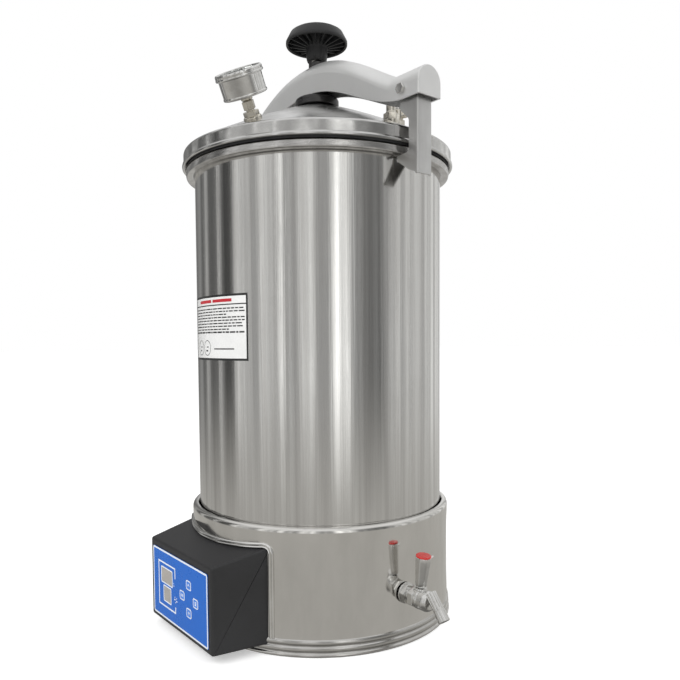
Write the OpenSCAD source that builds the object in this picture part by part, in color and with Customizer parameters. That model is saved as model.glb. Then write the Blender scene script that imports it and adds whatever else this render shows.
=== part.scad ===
// Benchtop steam autoclave with a bar-clamped lid.
// Origin: the barrel's axis at the surface the base stands on. +Z is up, the
// control panel faces -Y, the clamp arm lies along X and the drain tap is at +X.

/* [Barrel] */
// Outside radius of the pressure vessel wall
barrel_r = 143; // [142:0.5:144]
// Thickness of the vessel wall
barrel_wall = 1.5; // [1.2:0.1:2]
// Height where the dished bottom meets the straight wall
dish_z = 112; // [108:1:114]
// Depth of the dished bottom
dish_depth = 22; // [18:1:24]
// Height of the vessel's mouth
mouth_z = 511; // [510:0.5:512]
// Outside radius of the flange around the mouth
flange_r = 152.7; // [152:0.1:153]
// Thickness of the flange
flange_h = 8.7; // [8:0.1:8.8]

/* [Base] */
// Outside radius of the polished base shell
shell_r = 151.4; // [151:0.1:151.8]
// Thickness of the base shell
shell_wall = 1; // [0.8:0.1:1.2]
// Height of the shell's rolled top rim
shell_top = 130; // [129:0.5:132]
// Radius of the rolled rim
rim_r = 5; // [4:0.5:6]
// Height of the base ring
ring_h = 17.3; // [17:0.1:18]

/* [Control box] */
// Width of the control box
box_w = 141.8; // [141:0.2:143]
// Distance from the barrel's axis to the front of the box
box_front = 186.3; // [186:0.1:188]
// Height of the underside of the box
box_bottom = 9.1; // [9:0.1:10]
// Height of the front edge of the sloping top
box_front_top = 96.7; // [96:0.1:98]
// Rise of the top over its run to the barrel
box_slope = 0.193; // [0.18:0.005:0.2]
// Growth of the box's half width over its run to the barrel
box_flare = 0.17; // [0.15:0.01:0.2]
// Wall thickness of the box
box_wall = 2.5; // [2:0.1:3]
// Width of the control panel
panel_w = 128.4; // [127:0.2:130]
// Height of the control panel
panel_h = 75.2; // [74:0.2:76]
// Thickness of the control panel
panel_t = 0.8; // [0.6:0.1:1]
// Width of a key
key_w = 11; // [10.6:0.1:11.4]
// Height of a key
key_h = 9.8; // [9.4:0.1:10.2]
// Travel of a key
key_travel = 0.4; // [0.3:0.1:0.5]

/* [Lid] */
// Outside radius of the lid's skirt
lid_r = 155.5; // [155.3:0.1:155.7]
// Height of the lower edge of the skirt
skirt_z = 512.5; // [512.2:0.1:512.8]
// Height where the dome starts
dome_z = 530; // [529.5:0.5:530.5]
// Rise of the dome over its full span
dome_h = 64; // [63:0.5:64]
// Radius of the flat disc at the crown of the dome
crown_r = 30; // [29:0.5:31]
// Sheet thickness of the lid
lid_wall = 1.6; // [1.4:0.1:1.8]

/* [Clamp] */
// Half the width of the clamp arm
arm_half = 15.75; // [15.6:0.05:15.9]
// Sheet thickness of the clamp arm
arm_wall = 1.8; // [1.7:0.1:1.9]
// Half the length of the clamp arm
arm_reach = 181.9; // [181.5:0.1:182.5]
// Height of the arm's lower edge over the lid
arch_z = 601; // [600.8:0.1:601.4]
// Height of the arm's lower edge at its two heads
head_z = 552.5; // [552:0.1:553]
// Distance of each hook pin from the barrel's axis
hook_pin_x = 158.5; // [158.3:0.1:158.7]
// Height of the hook pins
hook_pin_z = 562.4; // [562.2:0.1:562.6]
// Radius of the hook pins
hook_pin_r = 4; // [3.8:0.1:4]
// Half the width of a hook
hook_half = 9.8; // [9.6:0.1:9.9]
// Sheet thickness of a hook
hook_wall = 2; // [1.8:0.1:2.2]

/* [Handwheel] */
// Radius of the handwheel
wheel_r = 36; // [34:0.5:37]
// Height of the underside of the handwheel's rim
wheel_z = 661; // [660:0.5:662]
// Height of the top of the handwheel
top_z = 680; // [679:0.5:681]
// Radius of the screw spindle
spindle_r = 6.2; // [6:0.1:6.4]
// Travel of the lid from clamped to slack, one turn of the screw
screw_travel = 4; // [3.5:0.1:4]

/* [Fittings] */
// Distance of the gauge's foot from the barrel's axis
gauge_rho = 127; // [125:1:129]
// Direction of the gauge's foot, measured from -Y towards +X
gauge_az = 22; // [18:1:26]
// Outward lean of the gauge
gauge_lean = 31; // [28:1:33]
// Outside radius of the gauge's bezel
bezel_r = 24.6; // [24:0.1:25]
// Lean of the drain tap's handle
tap_lean = 7; // [5:0.5:9]
// Outside radius of the tap's spout
spout_r = 6; // [5.6:0.1:6.2]

/* [Basket] */
// Outside radius of the basket
basket_r = 127; // [124:0.5:128]
// Height of the underside of the basket
basket_z = 133; // [132.8:0.1:134]
// Height of the basket's rim
basket_top = 455; // [450:1:456]
// Radius of the basket's bail
bail_r = 119; // [117:0.5:119.5]

/* [Hidden] */
$fn = 96;
play = 0.05;
eps = 0.01;
flange_z = mouth_z - flange_h;
barrel_in = barrel_r - barrel_wall;
seat_r = shell_r + 1;
panel_mid_z = 51.9;
lip_w = 6;
lip_half = 87.4;
lip_top = 114.4;
board_y = -176;
dome_r = 152;
dome_power = 1.2;
crown_z = dome_height(crown_r);
seal_z = mouth_z + 0.3;
seal_top = seal_z + 7.5;
rim_in = 137;
arm_top_z = 582.3;
arm_crown = 55.7;
arm_shift = 19;
arm_fade = 30;
arm_steps = 52;
bush_skirt_z = crown_z + screw_travel + 0.5;
bush_roof_z = 598;
bail_z = basket_top - 11;
key_centre = [23.6, 52.8];
key_pitch = [15.2, 14.5];
display_hi = [-29.2, 62.2, 26.4, 15.8];
display_lo = [-28.4, 42.4, 17.2, 15.8];
tap_at = [151.4, -5, 54.5];
tap_pivot = [172.5, -5, 54.5];
spout_tip = [206.2, -5, 40.8];
spout_dir = 141.5;
spout_len = 30;
spout_mouth = 12;
spout_root_r = spout_r - 0.4;
earth_az = 23.4;
earth_z = 30;
drain_x = 110;
pipe_r = 6;
pipe_bore = 4;
safety_at = [91.5, 33];
safety_r = 6.6;
exhaust_at = [74, 60];
exhaust_r = 6.5;
silver = [0.78, 0.78, 0.77];
bright = [0.86, 0.86, 0.85];
dark = [0.14, 0.14, 0.15];
blue = [0.1, 0.4, 0.78];

// Height of the dome's outer surface at a distance from the axis
function dome_height(r) = dome_z + dome_h * (1 - pow(r / dome_r, dome_power));

// Heights of the clamp arm's crown and lower edge along its length; its arch is
// broader towards -X
function arm_place(x) = x < 0 ? x + arm_shift * (1 - exp(x / arm_fade)) : x;
function wave(x, reach) = 0.5 + 0.5 * cos(180 * min(abs(arm_place(x)), reach) / reach);
function arm_bottom(x) = head_z + (arch_z - head_z) * pow(wave(x, 160), 0.88);
function arm_top(x) = arm_top_z + arm_crown * pow(wave(x, 140), 0.56);

// Side outline of the arm in [x, z], drawn in by a wall thickness and lowered at its foot
module arm_outline(inset, drop) {
  cap_x = arm_reach - inset;
  xs = [for (i = [0:arm_steps]) -cap_x + 2 * cap_x * i / arm_steps];
  polygon(concat(
    [for (x = xs) [x, arm_top(x) - inset]],
    [for (i = [arm_steps:-1:0]) [xs[i], arm_bottom(xs[i]) - drop]]));
}

// The arm's outer body, or the channel that it encloses
module arm_block(inset, drop) {
  half = arm_half - inset;
  translate([0, half, 0])
    rotate([90, 0, 0])
      linear_extrude(2 * half) arm_outline(inset, drop);
}

module ring(r_out, r_in, z0, z1) {
  translate([0, 0, z0])
    difference() {
      cylinder(r = r_out, h = z1 - z0);
      translate([0, 0, -1]) cylinder(r = r_in, h = z1 - z0 + 2);
    }
}

module hex(across, height) {
  cylinder(r = across / sqrt(3), h = height, $fn = 6);
}

// A rounded rectangle in the XZ plane, run along Y from y0 to y1
module front_slab(half, z0, z1, corner, y0, y1) {
  translate([0, y1, 0])
    rotate([90, 0, 0])
      linear_extrude(y1 - y0) {
        translate([-half + corner, z0]) square([2 * (half - corner), z1 - z0]);
        translate([-half, z0]) square([2 * half, z1 - z0 - corner]);
        for (s = [-1, 1])
          translate([s * (half - corner), z1 - corner]) circle(corner);
      }
}

// Places its children on the front plane at a [x, z] centre, Z pointing outwards
module on_front(centre, y) {
  translate([centre[0], y, centre[1]]) rotate([90, 0, 0]) children();
}

module plate(w, h, t) {
  translate([-w / 2, -h / 2, 0]) cube([w, h, t]);
}

// ---- Base ----

module base_ring() {
  color(silver)
    rotate_extrude()
      polygon([[147.6, 0], [153.4, 0], [153.8, 0.6], [153.8, 2.2], [152.6, 3.2],
               [152.6, 5.2], [153.4, 6.2], [153.4, 9], [152.4, 10], [152.4, 11.6],
               [153, 12.6], [153, 15.2], [151.6, 16.2], [151.6, ring_h],
               [150.2, ring_h], [150.2, 11], [147.6, 11]]);
}

module bottom_plate() {
  color(silver)
    difference() {
      translate([0, 0, 11]) cylinder(r = 150, h = 1.5);
      for (a = [0:30:330])
        rotate([0, 0, a]) translate([60, 0, 10]) cylinder(r = 6, h = 4);
      translate([-40, 60, 10]) cylinder(r = 2.5, h = 4);
    }
}

module shell_profile() {
  inner = rim_r - shell_wall;
  centre = shell_r - rim_r;
  polygon(concat(
    [[shell_r, ring_h]],
    [for (a = [0:15:90]) [centre + rim_r * cos(a), shell_top - rim_r + rim_r * sin(a)]],
    [[barrel_r + 0.1, shell_top], [barrel_r + 0.1, shell_top - shell_wall]],
    [for (a = [90:-15:0]) [centre + inner * cos(a), shell_top - rim_r + inner * sin(a)]],
    [[shell_r - shell_wall, ring_h]]));
}

module box_screw_places() {
  for (x = [-63.5, 63.5], z = [30, 90])
    translate([x, 0, z]) rotate([90, 0, 0]) children();
}

module base_shell() {
  color(bright)
    difference() {
      rotate_extrude() shell_profile();
      front_slab(57, 24, 100, 6, -shell_r - 5, -60);
      translate([120, tap_at[1], tap_at[2]]) rotate([0, 90, 0]) cylinder(r = 6.6, h = 60);
      translate([0, 120, 55]) rotate([-90, 0, 0]) cylinder(r = 8.1, h = 60);
      on_earth(120) cylinder(r = 2.6, h = 60);
      box_screw_places() translate([0, 0, 100]) cylinder(r = 1.7, h = 60);
    }
}

// Folded bright edging that frames the control box on the shell
module shell_lip() {
  color(bright)
    intersection() {
      ring(shell_r + 2.4, shell_r, ring_h, 121);
      front_slab(lip_half, ring_h, lip_top, 9, -170, -60);
      difference() {
        box_block(-lip_w);
        box_block(-0.2);
      }
    }
}

// Black sealing strip between the shell and the control box
module box_gasket() {
  color(dark)
    intersection() {
      ring(seat_r, shell_r, ring_h + 0.1, 121);
      difference() {
        box_block(0.6);
        front_slab(57, 24, 100, 6, -171, -59);
        box_screw_places() translate([0, 0, 100]) cylinder(r = 1.7, h = 60);
      }
    }
}

// Side outline of the box, drawn in [y, z], drawn in by a wall thickness
module box_profile(inset) {
  front = -box_front + inset;
  back = -100;
  polygon([[front, box_bottom + inset],
           [front, box_front_top - inset],
           [back, box_front_top - inset + box_slope * (back - front)],
           [back, box_bottom + inset]]);
}

// Plan of the box, which widens towards the shell
module box_plan(inset) {
  front = -box_front + inset;
  back = -100;
  half = box_w / 2 - inset;
  near = half + box_flare * inset;
  far = half + box_flare * (box_front + back);
  polygon([[-near, front], [near, front], [far, back], [-far, back]]);
}

module box_block(inset) {
  intersection() {
    translate([-box_w, 0, 0])
      rotate([90, 0, 90])
        linear_extrude(2 * box_w) box_profile(inset);
    linear_extrude(shell_top) box_plan(inset);
  }
}

module control_box() {
  color(dark)
    difference() {
      union() {
        difference() {
          box_block(0);
          box_block(box_wall);
        }
        box_screw_places() translate([0, 0, 130]) cylinder(r = 5, h = 28);
      }
      cylinder(r = seat_r, h = 200);
      translate([0, 0, -1]) cylinder(r = 154.1, h = ring_h + 1.3);
      box_screw_places() translate([0, 0, 100]) cylinder(r = 1.5, h = 52);
      for (d = [display_hi, display_lo])
        on_front([d[0], d[1]], -box_front + 5) plate(d[2] + 0.2, d[3] + 0.2, 10);
      key_places() translate([0, 0, -5]) plate(key_w + 0.5, key_h + 0.5, 10);
    }
}

module box_screws() {
  color(silver)
    box_screw_places() {
      translate([0, 0, 130.5]) cylinder(r = 3, h = 2.2);
      translate([0, 0, 132.6]) cylinder(r = 1.5, h = 17);
    }
}

// The four key positions, at the front face of the box, Z pointing outwards
module key_places() {
  for (k = [0:3]) key_place(k) children();
}

// Key k: 0 up, 1 down, 2 left, 3 right
module key_place(k) {
  shift = [[0, 1], [0, -1], [-1, 0], [1, 0]][k];
  on_front([key_centre[0] + shift[0] * key_pitch[0],
            key_centre[1] + shift[1] * key_pitch[1]], -box_front) children();
}

module control_panel() {
  color(blue)
    difference() {
      on_front([0.2, panel_mid_z], -box_front) plate(panel_w, panel_h, panel_t);
      for (d = [display_hi, display_lo])
        on_front([d[0], d[1]], -box_front + 1) plate(d[2] + 0.2, d[3] + 0.2, 5);
      key_places() translate([0, 0, -1]) plate(key_w + 0.5, key_h + 0.5, 5);
    }
}

// A display: window in the panel, and a wider body behind the box's wall
module display(d) {
  on_front([d[0], d[1]], board_y)
    union() {
      plate(d[2], d[3], box_front + board_y + panel_t - 0.2);
      plate(d[2] + 4, d[3] + 2, box_front + board_y - box_wall - 0.1);
    }
}

module display_upper() {
  color([0.62, 0.6, 0.56]) display(display_hi);
}

module display_lower() {
  color([0.62, 0.6, 0.56]) display(display_lo);
}

module control_board() {
  color([0.1, 0.35, 0.2])
    union() {
      on_front([0, 52], board_y + 1.6) plate(116, 62, 1.6);
      key_places() translate([0, 0, -(box_front + board_y)]) plate(6, 6, 3);
      for (x = [-55, 55], z = [24, 80])
        on_front([x, z], board_y) cylinder(r = 3, h = box_front + board_y - box_wall);
    }
}

module relay() {
  color([0.15, 0.2, 0.3])
    translate([-40, board_y + 1.6, 30]) cube([30, 16, 26]);
}

module transformer() {
  color([0.7, 0.55, 0.2])
    union() {
      translate([-20, -128, 12.5]) cube([40, 34, 30]);
      translate([-14, -134, 18]) cube([28, 46, 19]);
    }
}

module key(k) {
  stem_end = board_y + box_front - 3 - 2 * key_travel;
  color(blue)
    key_place(k) {
      translate([0, 0, -3.2]) plate(key_w, key_h, 3.2 + panel_t + 0.3);
      translate([0, 0, -4]) plate(key_w + 2.4, key_h + 2.4, 1.4);
      translate([0, 0, -stem_end]) cylinder(r = 1.5, h = stem_end - 3);
    }
}

module key_up() {
  key(0);
}

module key_down() {
  key(1);
}

module key_left() {
  key(2);
}

module key_right() {
  key(3);
}

// ---- Pressure vessel ----

module heater_leg_places() {
  for (a = [258, 282])
    rotate([0, 0, a]) translate([85, 0, 0]) children();
}

module chamber() {
  color(silver)
    difference() {
      rotate_extrude()
        polygon(concat(
          [[0, dish_z - dish_depth]],
          [for (a = [85:-5:0]) [barrel_r * cos(a), dish_z - dish_depth * sin(a)]],
          [[barrel_r, mouth_z], [barrel_in, mouth_z]],
          [for (a = [0:5:85])
            [barrel_in * cos(a), dish_z - (dish_depth - barrel_wall) * sin(a)]],
          [[0, dish_z - dish_depth + barrel_wall]]));
      heater_leg_places() translate([0, 0, 80]) cylinder(r = 4.4, h = 30);
      translate([-50, -40, 80]) cylinder(r = 3.1, h = 30);
      translate([drain_x, tap_at[1], 80]) cylinder(r = 6.1, h = 30);
    }
}

module chamber_flange() {
  color(silver)
    rotate_extrude()
      polygon([[barrel_r, flange_z + 0.8], [barrel_r + 2, flange_z],
               [flange_r - 1, flange_z], [flange_r, flange_z + 1],
               [flange_r, mouth_z - 1], [flange_r - 1, mouth_z], [barrel_r, mouth_z]]);
}

module label_plate() {
  color("white")
    rotate([0, 0, -111])
      rotate_extrude(angle = 44)
        translate([barrel_r, 296]) square([0.4, 69]);
}

module heater_element() {
  color([0.45, 0.45, 0.47])
    union() {
      rotate([0, 0, -78])
        rotate_extrude(angle = 336)
          translate([85, 119]) circle(4.2);
      heater_leg_places() translate([0, 0, 72]) cylinder(r = 4.2, h = 47);
      heater_leg_places() translate([0, 0, 119]) sphere(4.2);
    }
}

module heater_nuts() {
  color([0.7, 0.6, 0.35])
    difference() {
      heater_leg_places() translate([0, 0, 86.5]) hex(14, 6);
      heater_leg_places() translate([0, 0, 80]) cylinder(r = 4.25, h = 20);
    }
}

module basket_stand() {
  color(silver)
    difference() {
      union() {
        translate([0, 0, basket_z - 2]) cylinder(r = 134, h = 1.6);
        for (a = [30:120:270])
          rotate([0, 0, a]) translate([112, 0, 101]) cylinder(r = 4, h = basket_z - 102);
      }
      for (a = [0:30:330])
        rotate([0, 0, a]) {
          translate([60, 0, 100]) cylinder(r = 7, h = 50);
          translate([95, 0, 100]) cylinder(r = 7, h = 50);
        }
      translate([0, 0, 100]) cylinder(r = 15, h = 50);
    }
}

module temperature_probe() {
  color(silver)
    translate([-50, -40, 72]) cylinder(r = 3, h = 50);
}

// ---- Drain tap ----

// Brass tube from the chamber's floor to a round elbow, and on to the tap
module drain_pipe() {
  color([0.72, 0.58, 0.32])
    difference() {
      union() {
        translate([drain_x, tap_at[1], tap_at[2]]) cylinder(r = pipe_r, h = 102 - tap_at[2]);
        along_tap(drain_x) cylinder(r = pipe_r, h = 138 - drain_x);
        translate([drain_x, tap_at[1], tap_at[2]]) sphere(pipe_r + 2);
      }
      translate([drain_x, tap_at[1], tap_at[2]]) cylinder(r = pipe_bore, h = 60);
      along_tap(drain_x) cylinder(r = pipe_bore - 0.2, h = 60);
    }
}

module along_tap(x) {
  translate([x, tap_at[1], tap_at[2]]) rotate([0, 90, 0]) children();
}

module tap_body() {
  color(bright)
    difference() {
      union() {
        along_tap(138) cylinder(r = 6.5, h = 27);
        along_tap(164) hex(20, 7);
        along_tap(170) cylinder(r = 10.5, h = 18);
        translate(tap_pivot) rotate([0, tap_lean, 0]) cylinder(r = 7, h = 12);
      }
      along_tap(137) cylinder(r = 3.5, h = 36);
      translate(tap_pivot) rotate([0, tap_lean, 0]) cylinder(r = 4 + play, h = 20);
      on_spout(-2) cylinder(r = spout_root_r, h = spout_len);
    }
}

module tap_nut() {
  color(silver)
    difference() {
      union() {
        along_tap(152.4) cylinder(r = 11, h = 1.4);
        along_tap(153.8) hex(19, 5.5);
        along_tap(143) hex(19, 5);
      }
      along_tap(140) cylinder(r = 6.5, h = 30);
    }
}

// Local frame of the spout, Z along it from its upper end to its mouth
module on_spout(from) {
  translate(spout_tip)
    rotate([0, spout_dir, 0])
      translate([0, 0, from - spout_len]) children();
}

module tap_spout() {
  color(bright)
    difference() {
      union() {
        on_spout(0) cylinder(r = spout_root_r, h = spout_len);
        on_spout(spout_len - spout_mouth) cylinder(r = spout_r, h = spout_mouth);
      }
      on_spout(3) cylinder(r = 4.4, h = spout_len);
    }
}

module on_handle(z) {
  translate(tap_pivot) rotate([0, tap_lean, 0]) translate([0, 0, z]) children();
}

module tap_handle() {
  color(bright) {
    on_handle(4) cylinder(r = 4, h = 10);
    on_handle(12.4)
      hull() {
        plate(13, 13.6, 0.5);
        translate([0, 0, 31.2]) plate(17.4, 16.4, 1);
      }
    on_handle(40)
      hull() {
        translate([0, 5, 0]) plate(6, 6, 3.5);
        translate([0, 14, 2.6]) plate(3, 2, 1.6);
      }
  }
}

module tap_cap() {
  color([0.8, 0.1, 0.1])
    on_handle(44.6) cylinder(r = 7.8, h = 1.8);
}

// ---- Rear fittings ----

module cable_gland() {
  color(dark)
    translate([0, 0, 55])
      rotate([-90, 0, 0])
        difference() {
          union() {
            translate([0, 0, 141]) cylinder(r = 8, h = 14);
            translate([0, 0, 143]) hex(22, 5);
            translate([0, 0, 152]) hex(22, 6);
            translate([0, 0, 157]) cylinder(r = 10, h = 10);
          }
          translate([0, 0, 140]) cylinder(r = 4, h = 40);
        }
}

// Local frame of the earth terminal, Z pointing outwards from the shell's axis
module on_earth(from) {
  rotate([0, 0, earth_az]) translate([0, 0, earth_z]) rotate([-90, 0, 0])
    translate([0, 0, from]) children();
}

module earth_terminal() {
  color(silver) {
    on_earth(shell_r - 10) cylinder(r = 2.5, h = 22);
    on_earth(shell_r + 0.05) hex(9, 4);
    on_earth(shell_r - shell_wall - 4.6) hex(9, 4);
  }
}

// ---- Basket ----

module basket() {
  color(silver)
    difference() {
      rotate_extrude()
        polygon([[0, basket_z], [basket_r, basket_z], [basket_r, basket_top - 3],
                 [basket_r + 1.5, basket_top - 3], [basket_r + 1.5, basket_top],
                 [basket_r - 1, basket_top], [basket_r - 1, basket_z + 1.2],
                 [0, basket_z + 1.2]]);
      for (row = [0:2], a = [15:30:345])
        rotate([0, 0, a])
          translate([basket_r - 4, 0, basket_z + 70 + 80 * row])
            rotate([0, 90, 0]) cylinder(r = 8, h = 8);
      for (r = [45, 90], a = [0:45:315])
        rotate([0, 0, a]) translate([r, 0, basket_z - 1]) cylinder(r = 8, h = 4);
      for (a = [0, 180])
        rotate([0, 0, a])
          translate([basket_r - 4, 0, bail_z]) rotate([0, 90, 0]) cylinder(r = 2.4, h = 8);
    }
}

module basket_pivots() {
  color(bright)
    for (s = [-1, 1])
      scale([s, 1, 1])
        translate([basket_r - 10, 0, bail_z])
          rotate([0, 90, 0]) {
            cylinder(r = 2.4, h = 11.5);
            translate([0, 0, 10]) cylinder(r = 4.5, h = 1.8);
          }
}

module basket_handle() {
  color(bright)
    difference() {
      union() {
        translate([0, 0, bail_z])
          rotate([0, 0, 180]) rotate_extrude(angle = 180) translate([bail_r, 0]) circle(2.5);
        for (s = [-1, 1])
          scale([s, 1, 1])
            translate([basket_r - 10.5, 0, bail_z]) rotate([0, 90, 0]) cylinder(r = 5, h = 8);
      }
      translate([-150, 0, bail_z])
        rotate([0, 90, 0]) cylinder(r = 2.4 + play, h = 300);
    }
}

// ---- Clamp ----

module clamp_arm() {
  color(silver)
    difference() {
      arm_block(0, 0);
      arm_block(arm_wall, 5);
      translate([0, 0, 610]) cylinder(r = 9.6, h = 60);
      for (s = [-1, 1])
        translate([s * hook_pin_x, 50, hook_pin_z])
          rotate([90, 0, 0]) cylinder(r = hook_pin_r + play, h = 100);
    }
}

module arm_bush() {
  color([0.25, 0.25, 0.27])
    difference() {
      union() {
        ring(25.5, 22.5, bush_skirt_z, bush_roof_z);
        translate([0, 0, bush_roof_z - 2.4]) cylinder(r = 25.5, h = 2.4);
        translate([0, 0, bush_roof_z]) cylinder(r = 13, h = 34);
        translate([0, 0, bush_roof_z]) cylinder(r = 9.5, h = 43);
      }
      translate([0, 0, 590]) cylinder(r = spindle_r + play, h = 60);
    }
}

// Shouldered bolt with a spacer on each side of the hook, centred on the arm
module hook_pin(s) {
  color(bright)
    translate([s * hook_pin_x, 0, hook_pin_z])
      rotate([90, 0, 0]) {
        translate([0, 0, -18]) cylinder(r = hook_pin_r, h = 36);
        translate([0, 0, arm_half]) hex(9.6, 3.6);
        translate([0, 0, -arm_half - 4]) hex(9.6, 4);
        for (y = [hook_half + 0.15, -arm_half + arm_wall + 0.05])
          translate([0, 0, y])
            cylinder(r = 6.5, h = arm_half - arm_wall - hook_half - 0.2);
      }
}

module hook_pin_left() {
  hook_pin(-1);
}

module hook_pin_right() {
  hook_pin(1);
}

// Side plate of the right-hand hook, drawn in [x, z]
module hook_plate() {
  polygon(concat(
    [[150.4, 571], [150.4, 546], [162.6, 533]],
    [for (a = [0:-15:-90]) [157.7 + 5 * cos(a), 506.3 + 5 * sin(a)]],
    [[145.7, 500.3], [147.8, 494.6], [162.7, 484], [175.3, 479], [175.3, 571]]));
}

module hook() {
  color(silver)
    difference() {
      union() {
        translate([0, hook_half, 0])
          rotate([90, 0, 0]) linear_extrude(hook_wall) hook_plate();
        translate([0, hook_wall - hook_half, 0])
          rotate([90, 0, 0]) linear_extrude(hook_wall) hook_plate();
        translate([175.3 - hook_wall, -hook_half, 479.8])
          cube([hook_wall, 2 * hook_half, 571 - 479.8]);
      }
      translate([hook_pin_x, 50, hook_pin_z])
        rotate([90, 0, 0]) cylinder(r = hook_pin_r + play, h = 100);
    }
}

module hook_right() {
  hook();
}

module hook_left() {
  rotate([0, 0, 180]) hook();
}

// ---- Lid ----

// Local frame of the gauge, Z along its stem, from where it meets the dome
module on_gauge(z) {
  rotate([0, 0, gauge_az - 90])
    translate([gauge_rho, 0, dome_height(gauge_rho)])
      rotate([0, gauge_lean, 0])
        translate([0, 0, z]) children();
}

// Local frame of an upright fitting on the dome
module on_dome(at, z) {
  translate([at[0], at[1], dome_height(norm(at)) + z]) children();
}

module lid_profile() {
  steps = 20;
  inner_r = rim_in;
  polygon(concat(
    [[0, crown_z], [crown_r, crown_z]],
    [for (i = [1:steps])
      let (r = crown_r + (dome_r - crown_r) * i / steps) [r, dome_height(r)]],
    [for (a = [60:-20:0]) [lid_r - 3.5 + 3.5 * cos(a), dome_z - 3.4 + 3.5 * sin(a)]],
    [[lid_r, skirt_z + 4], [lid_r + 1.5, skirt_z + 3], [lid_r + 1.5, skirt_z + 0.6],
     [lid_r + 1, skirt_z], [lid_r - 1.5, skirt_z], [lid_r - 1.5, seal_top],
     [inner_r, seal_top]],
    [for (i = [steps:-1:1])
      let (r = crown_r + (inner_r - crown_r) * i / steps) [r, dome_height(r) - lid_wall - 0.2]],
    [[crown_r, crown_z - lid_wall], [0, crown_z - lid_wall]]));
}

module lid() {
  color(bright)
    difference() {
      rotate_extrude() lid_profile();
      on_gauge(-10) cylinder(r = 6, h = 14);
      on_dome(safety_at, -15) cylinder(r = safety_r + play, h = 30);
      on_dome(exhaust_at, -15) cylinder(r = exhaust_r + play, h = 30);
    }
}

module lid_seal() {
  color([0.2, 0.2, 0.2])
    difference() {
      ring(152.5, rim_in + 1, seal_z, seal_top);
      ring(146.5, 144, seal_z - 1, seal_z + 1.5);
    }
}

module lid_boss() {
  color(dark)
    difference() {
      translate([0, 0, crown_z]) cylinder(r = 20, h = 5.9);
      translate([0, 0, crown_z + 1.5]) cylinder(r = 11, h = 10);
    }
}

module thrust_ring() {
  color(silver)
    ring(11, spindle_r + 0.15, crown_z + 4.7, crown_z + 5.9);
}

module gauge_socket() {
  color([0.74, 0.68, 0.55])
    difference() {
      union() {
        on_gauge(-3) cylinder(r = 5.95, h = 5);
        on_gauge(0.95) cylinder(r = 9.5, h = 2.25);
        on_gauge(3) hex(14.5, 5);
      }
      on_gauge(-5) cylinder(r = 2.5, h = 20);
    }
}

module gauge_stem() {
  color([0.74, 0.68, 0.55])
    on_gauge(8)
      difference() {
        union() {
          cylinder(r = 4.2, h = 14.4);
          translate([0, 0, 1.5]) hex(11.5, 8.5);
          translate([0, 0, 11]) cylinder(r = 6, h = 3.2);
        }
        translate([0, 0, -1]) cylinder(r = 1.5, h = 14);
      }
}

module gauge_case() {
  color(silver)
    on_gauge(22.4)
      difference() {
        cylinder(r = bezel_r - 1.8, h = 21);
        translate([0, 0, 1.5]) cylinder(r = bezel_r - 3, h = 30);
      }
}

module gauge_dial() {
  color("white")
    on_gauge(40) {
      cylinder(r = bezel_r - 3.1, h = 0.8);
      cylinder(r = 0.8, h = 3);
    }
}

module gauge_pointer() {
  color("black")
    on_gauge(41.4)
      difference() {
        union() {
          cylinder(r = 2.2, h = 0.8);
          rotate([0, 0, -135]) translate([-0.6, -6, 0.1]) cube([1.2, 22, 0.5]);
        }
        translate([0, 0, -1]) cylinder(r = 0.8 + play, h = 3);
      }
}

module gauge_glass() {
  color([0.8, 0.9, 0.95, 0.35])
    on_gauge(44.2) cylinder(r = bezel_r - 1.9, h = 1.4);
}

module gauge_bezel() {
  color(silver)
    on_gauge(41.6)
      difference() {
        cylinder(r = bezel_r, h = 6.2);
        translate([0, 0, -1]) cylinder(r = bezel_r - 1.75, h = 5.1);
        cylinder(r = bezel_r - 3, h = 10);
      }
}

module safety_valve() {
  color(silver)
    difference() {
      union() {
        on_dome(safety_at, -8) cylinder(r = 4.9, h = 8);
        on_dome(safety_at, -4) cylinder(r = safety_r, h = 34);
        on_dome(safety_at, 4.3) hex(15, 4.7);
        on_dome(safety_at, 26) hex(13.6, 6);
      }
      on_dome(safety_at, -10) cylinder(r = 2.05, h = 60);
    }
}

module safety_stem() {
  color(bright) {
    on_dome(safety_at, 4) cylinder(r = 2, h = 34);
    on_dome(safety_at, 36)
      rotate([90, 0, 0])
        translate([0, 6, 0]) rotate_extrude() translate([6, 0]) circle(1.1);
  }
}

module exhaust_valve() {
  color(silver)
    difference() {
      union() {
        on_dome(exhaust_at, -8) cylinder(r = 4.9, h = 8);
        on_dome(exhaust_at, -4) cylinder(r = exhaust_r, h = 26);
        on_dome(exhaust_at, 4.3) hex(15, 5.7);
        on_dome(exhaust_at, 15) rotate([0, 0, 20]) rotate([0, 90, 0]) cylinder(r = 3.2, h = 16);
      }
      on_dome(exhaust_at, -10) cylinder(r = 2, h = 24);
      on_dome(exhaust_at, 15) rotate([0, 0, 20]) rotate([0, 90, 0]) cylinder(r = 1.8, h = 20);
      on_dome(exhaust_at, 16) cylinder(r = 2 + play, h = 10);
    }
}

module exhaust_lever() {
  color(bright) {
    on_dome(exhaust_at, 17.2) cylinder(r = 2, h = 9);
    on_dome(exhaust_at, 22.3) cylinder(r = 5, h = 3.4);
    on_dome(exhaust_at, 22.8)
      rotate([0, 0, 60]) translate([0, -2.5, 0]) cube([24, 5, 2]);
  }
}

// ---- Screw and handwheel ----

module spindle() {
  color(bright)
    union() {
      translate([0, 0, crown_z + 1.7]) cylinder(r = 10.7, h = 2.8);
      translate([0, 0, crown_z + 1.7]) cylinder(r = spindle_r, h = 668 - crown_z);
      translate([0, 0, 664]) cylinder(r = 4, h = 11);
    }
}

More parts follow.
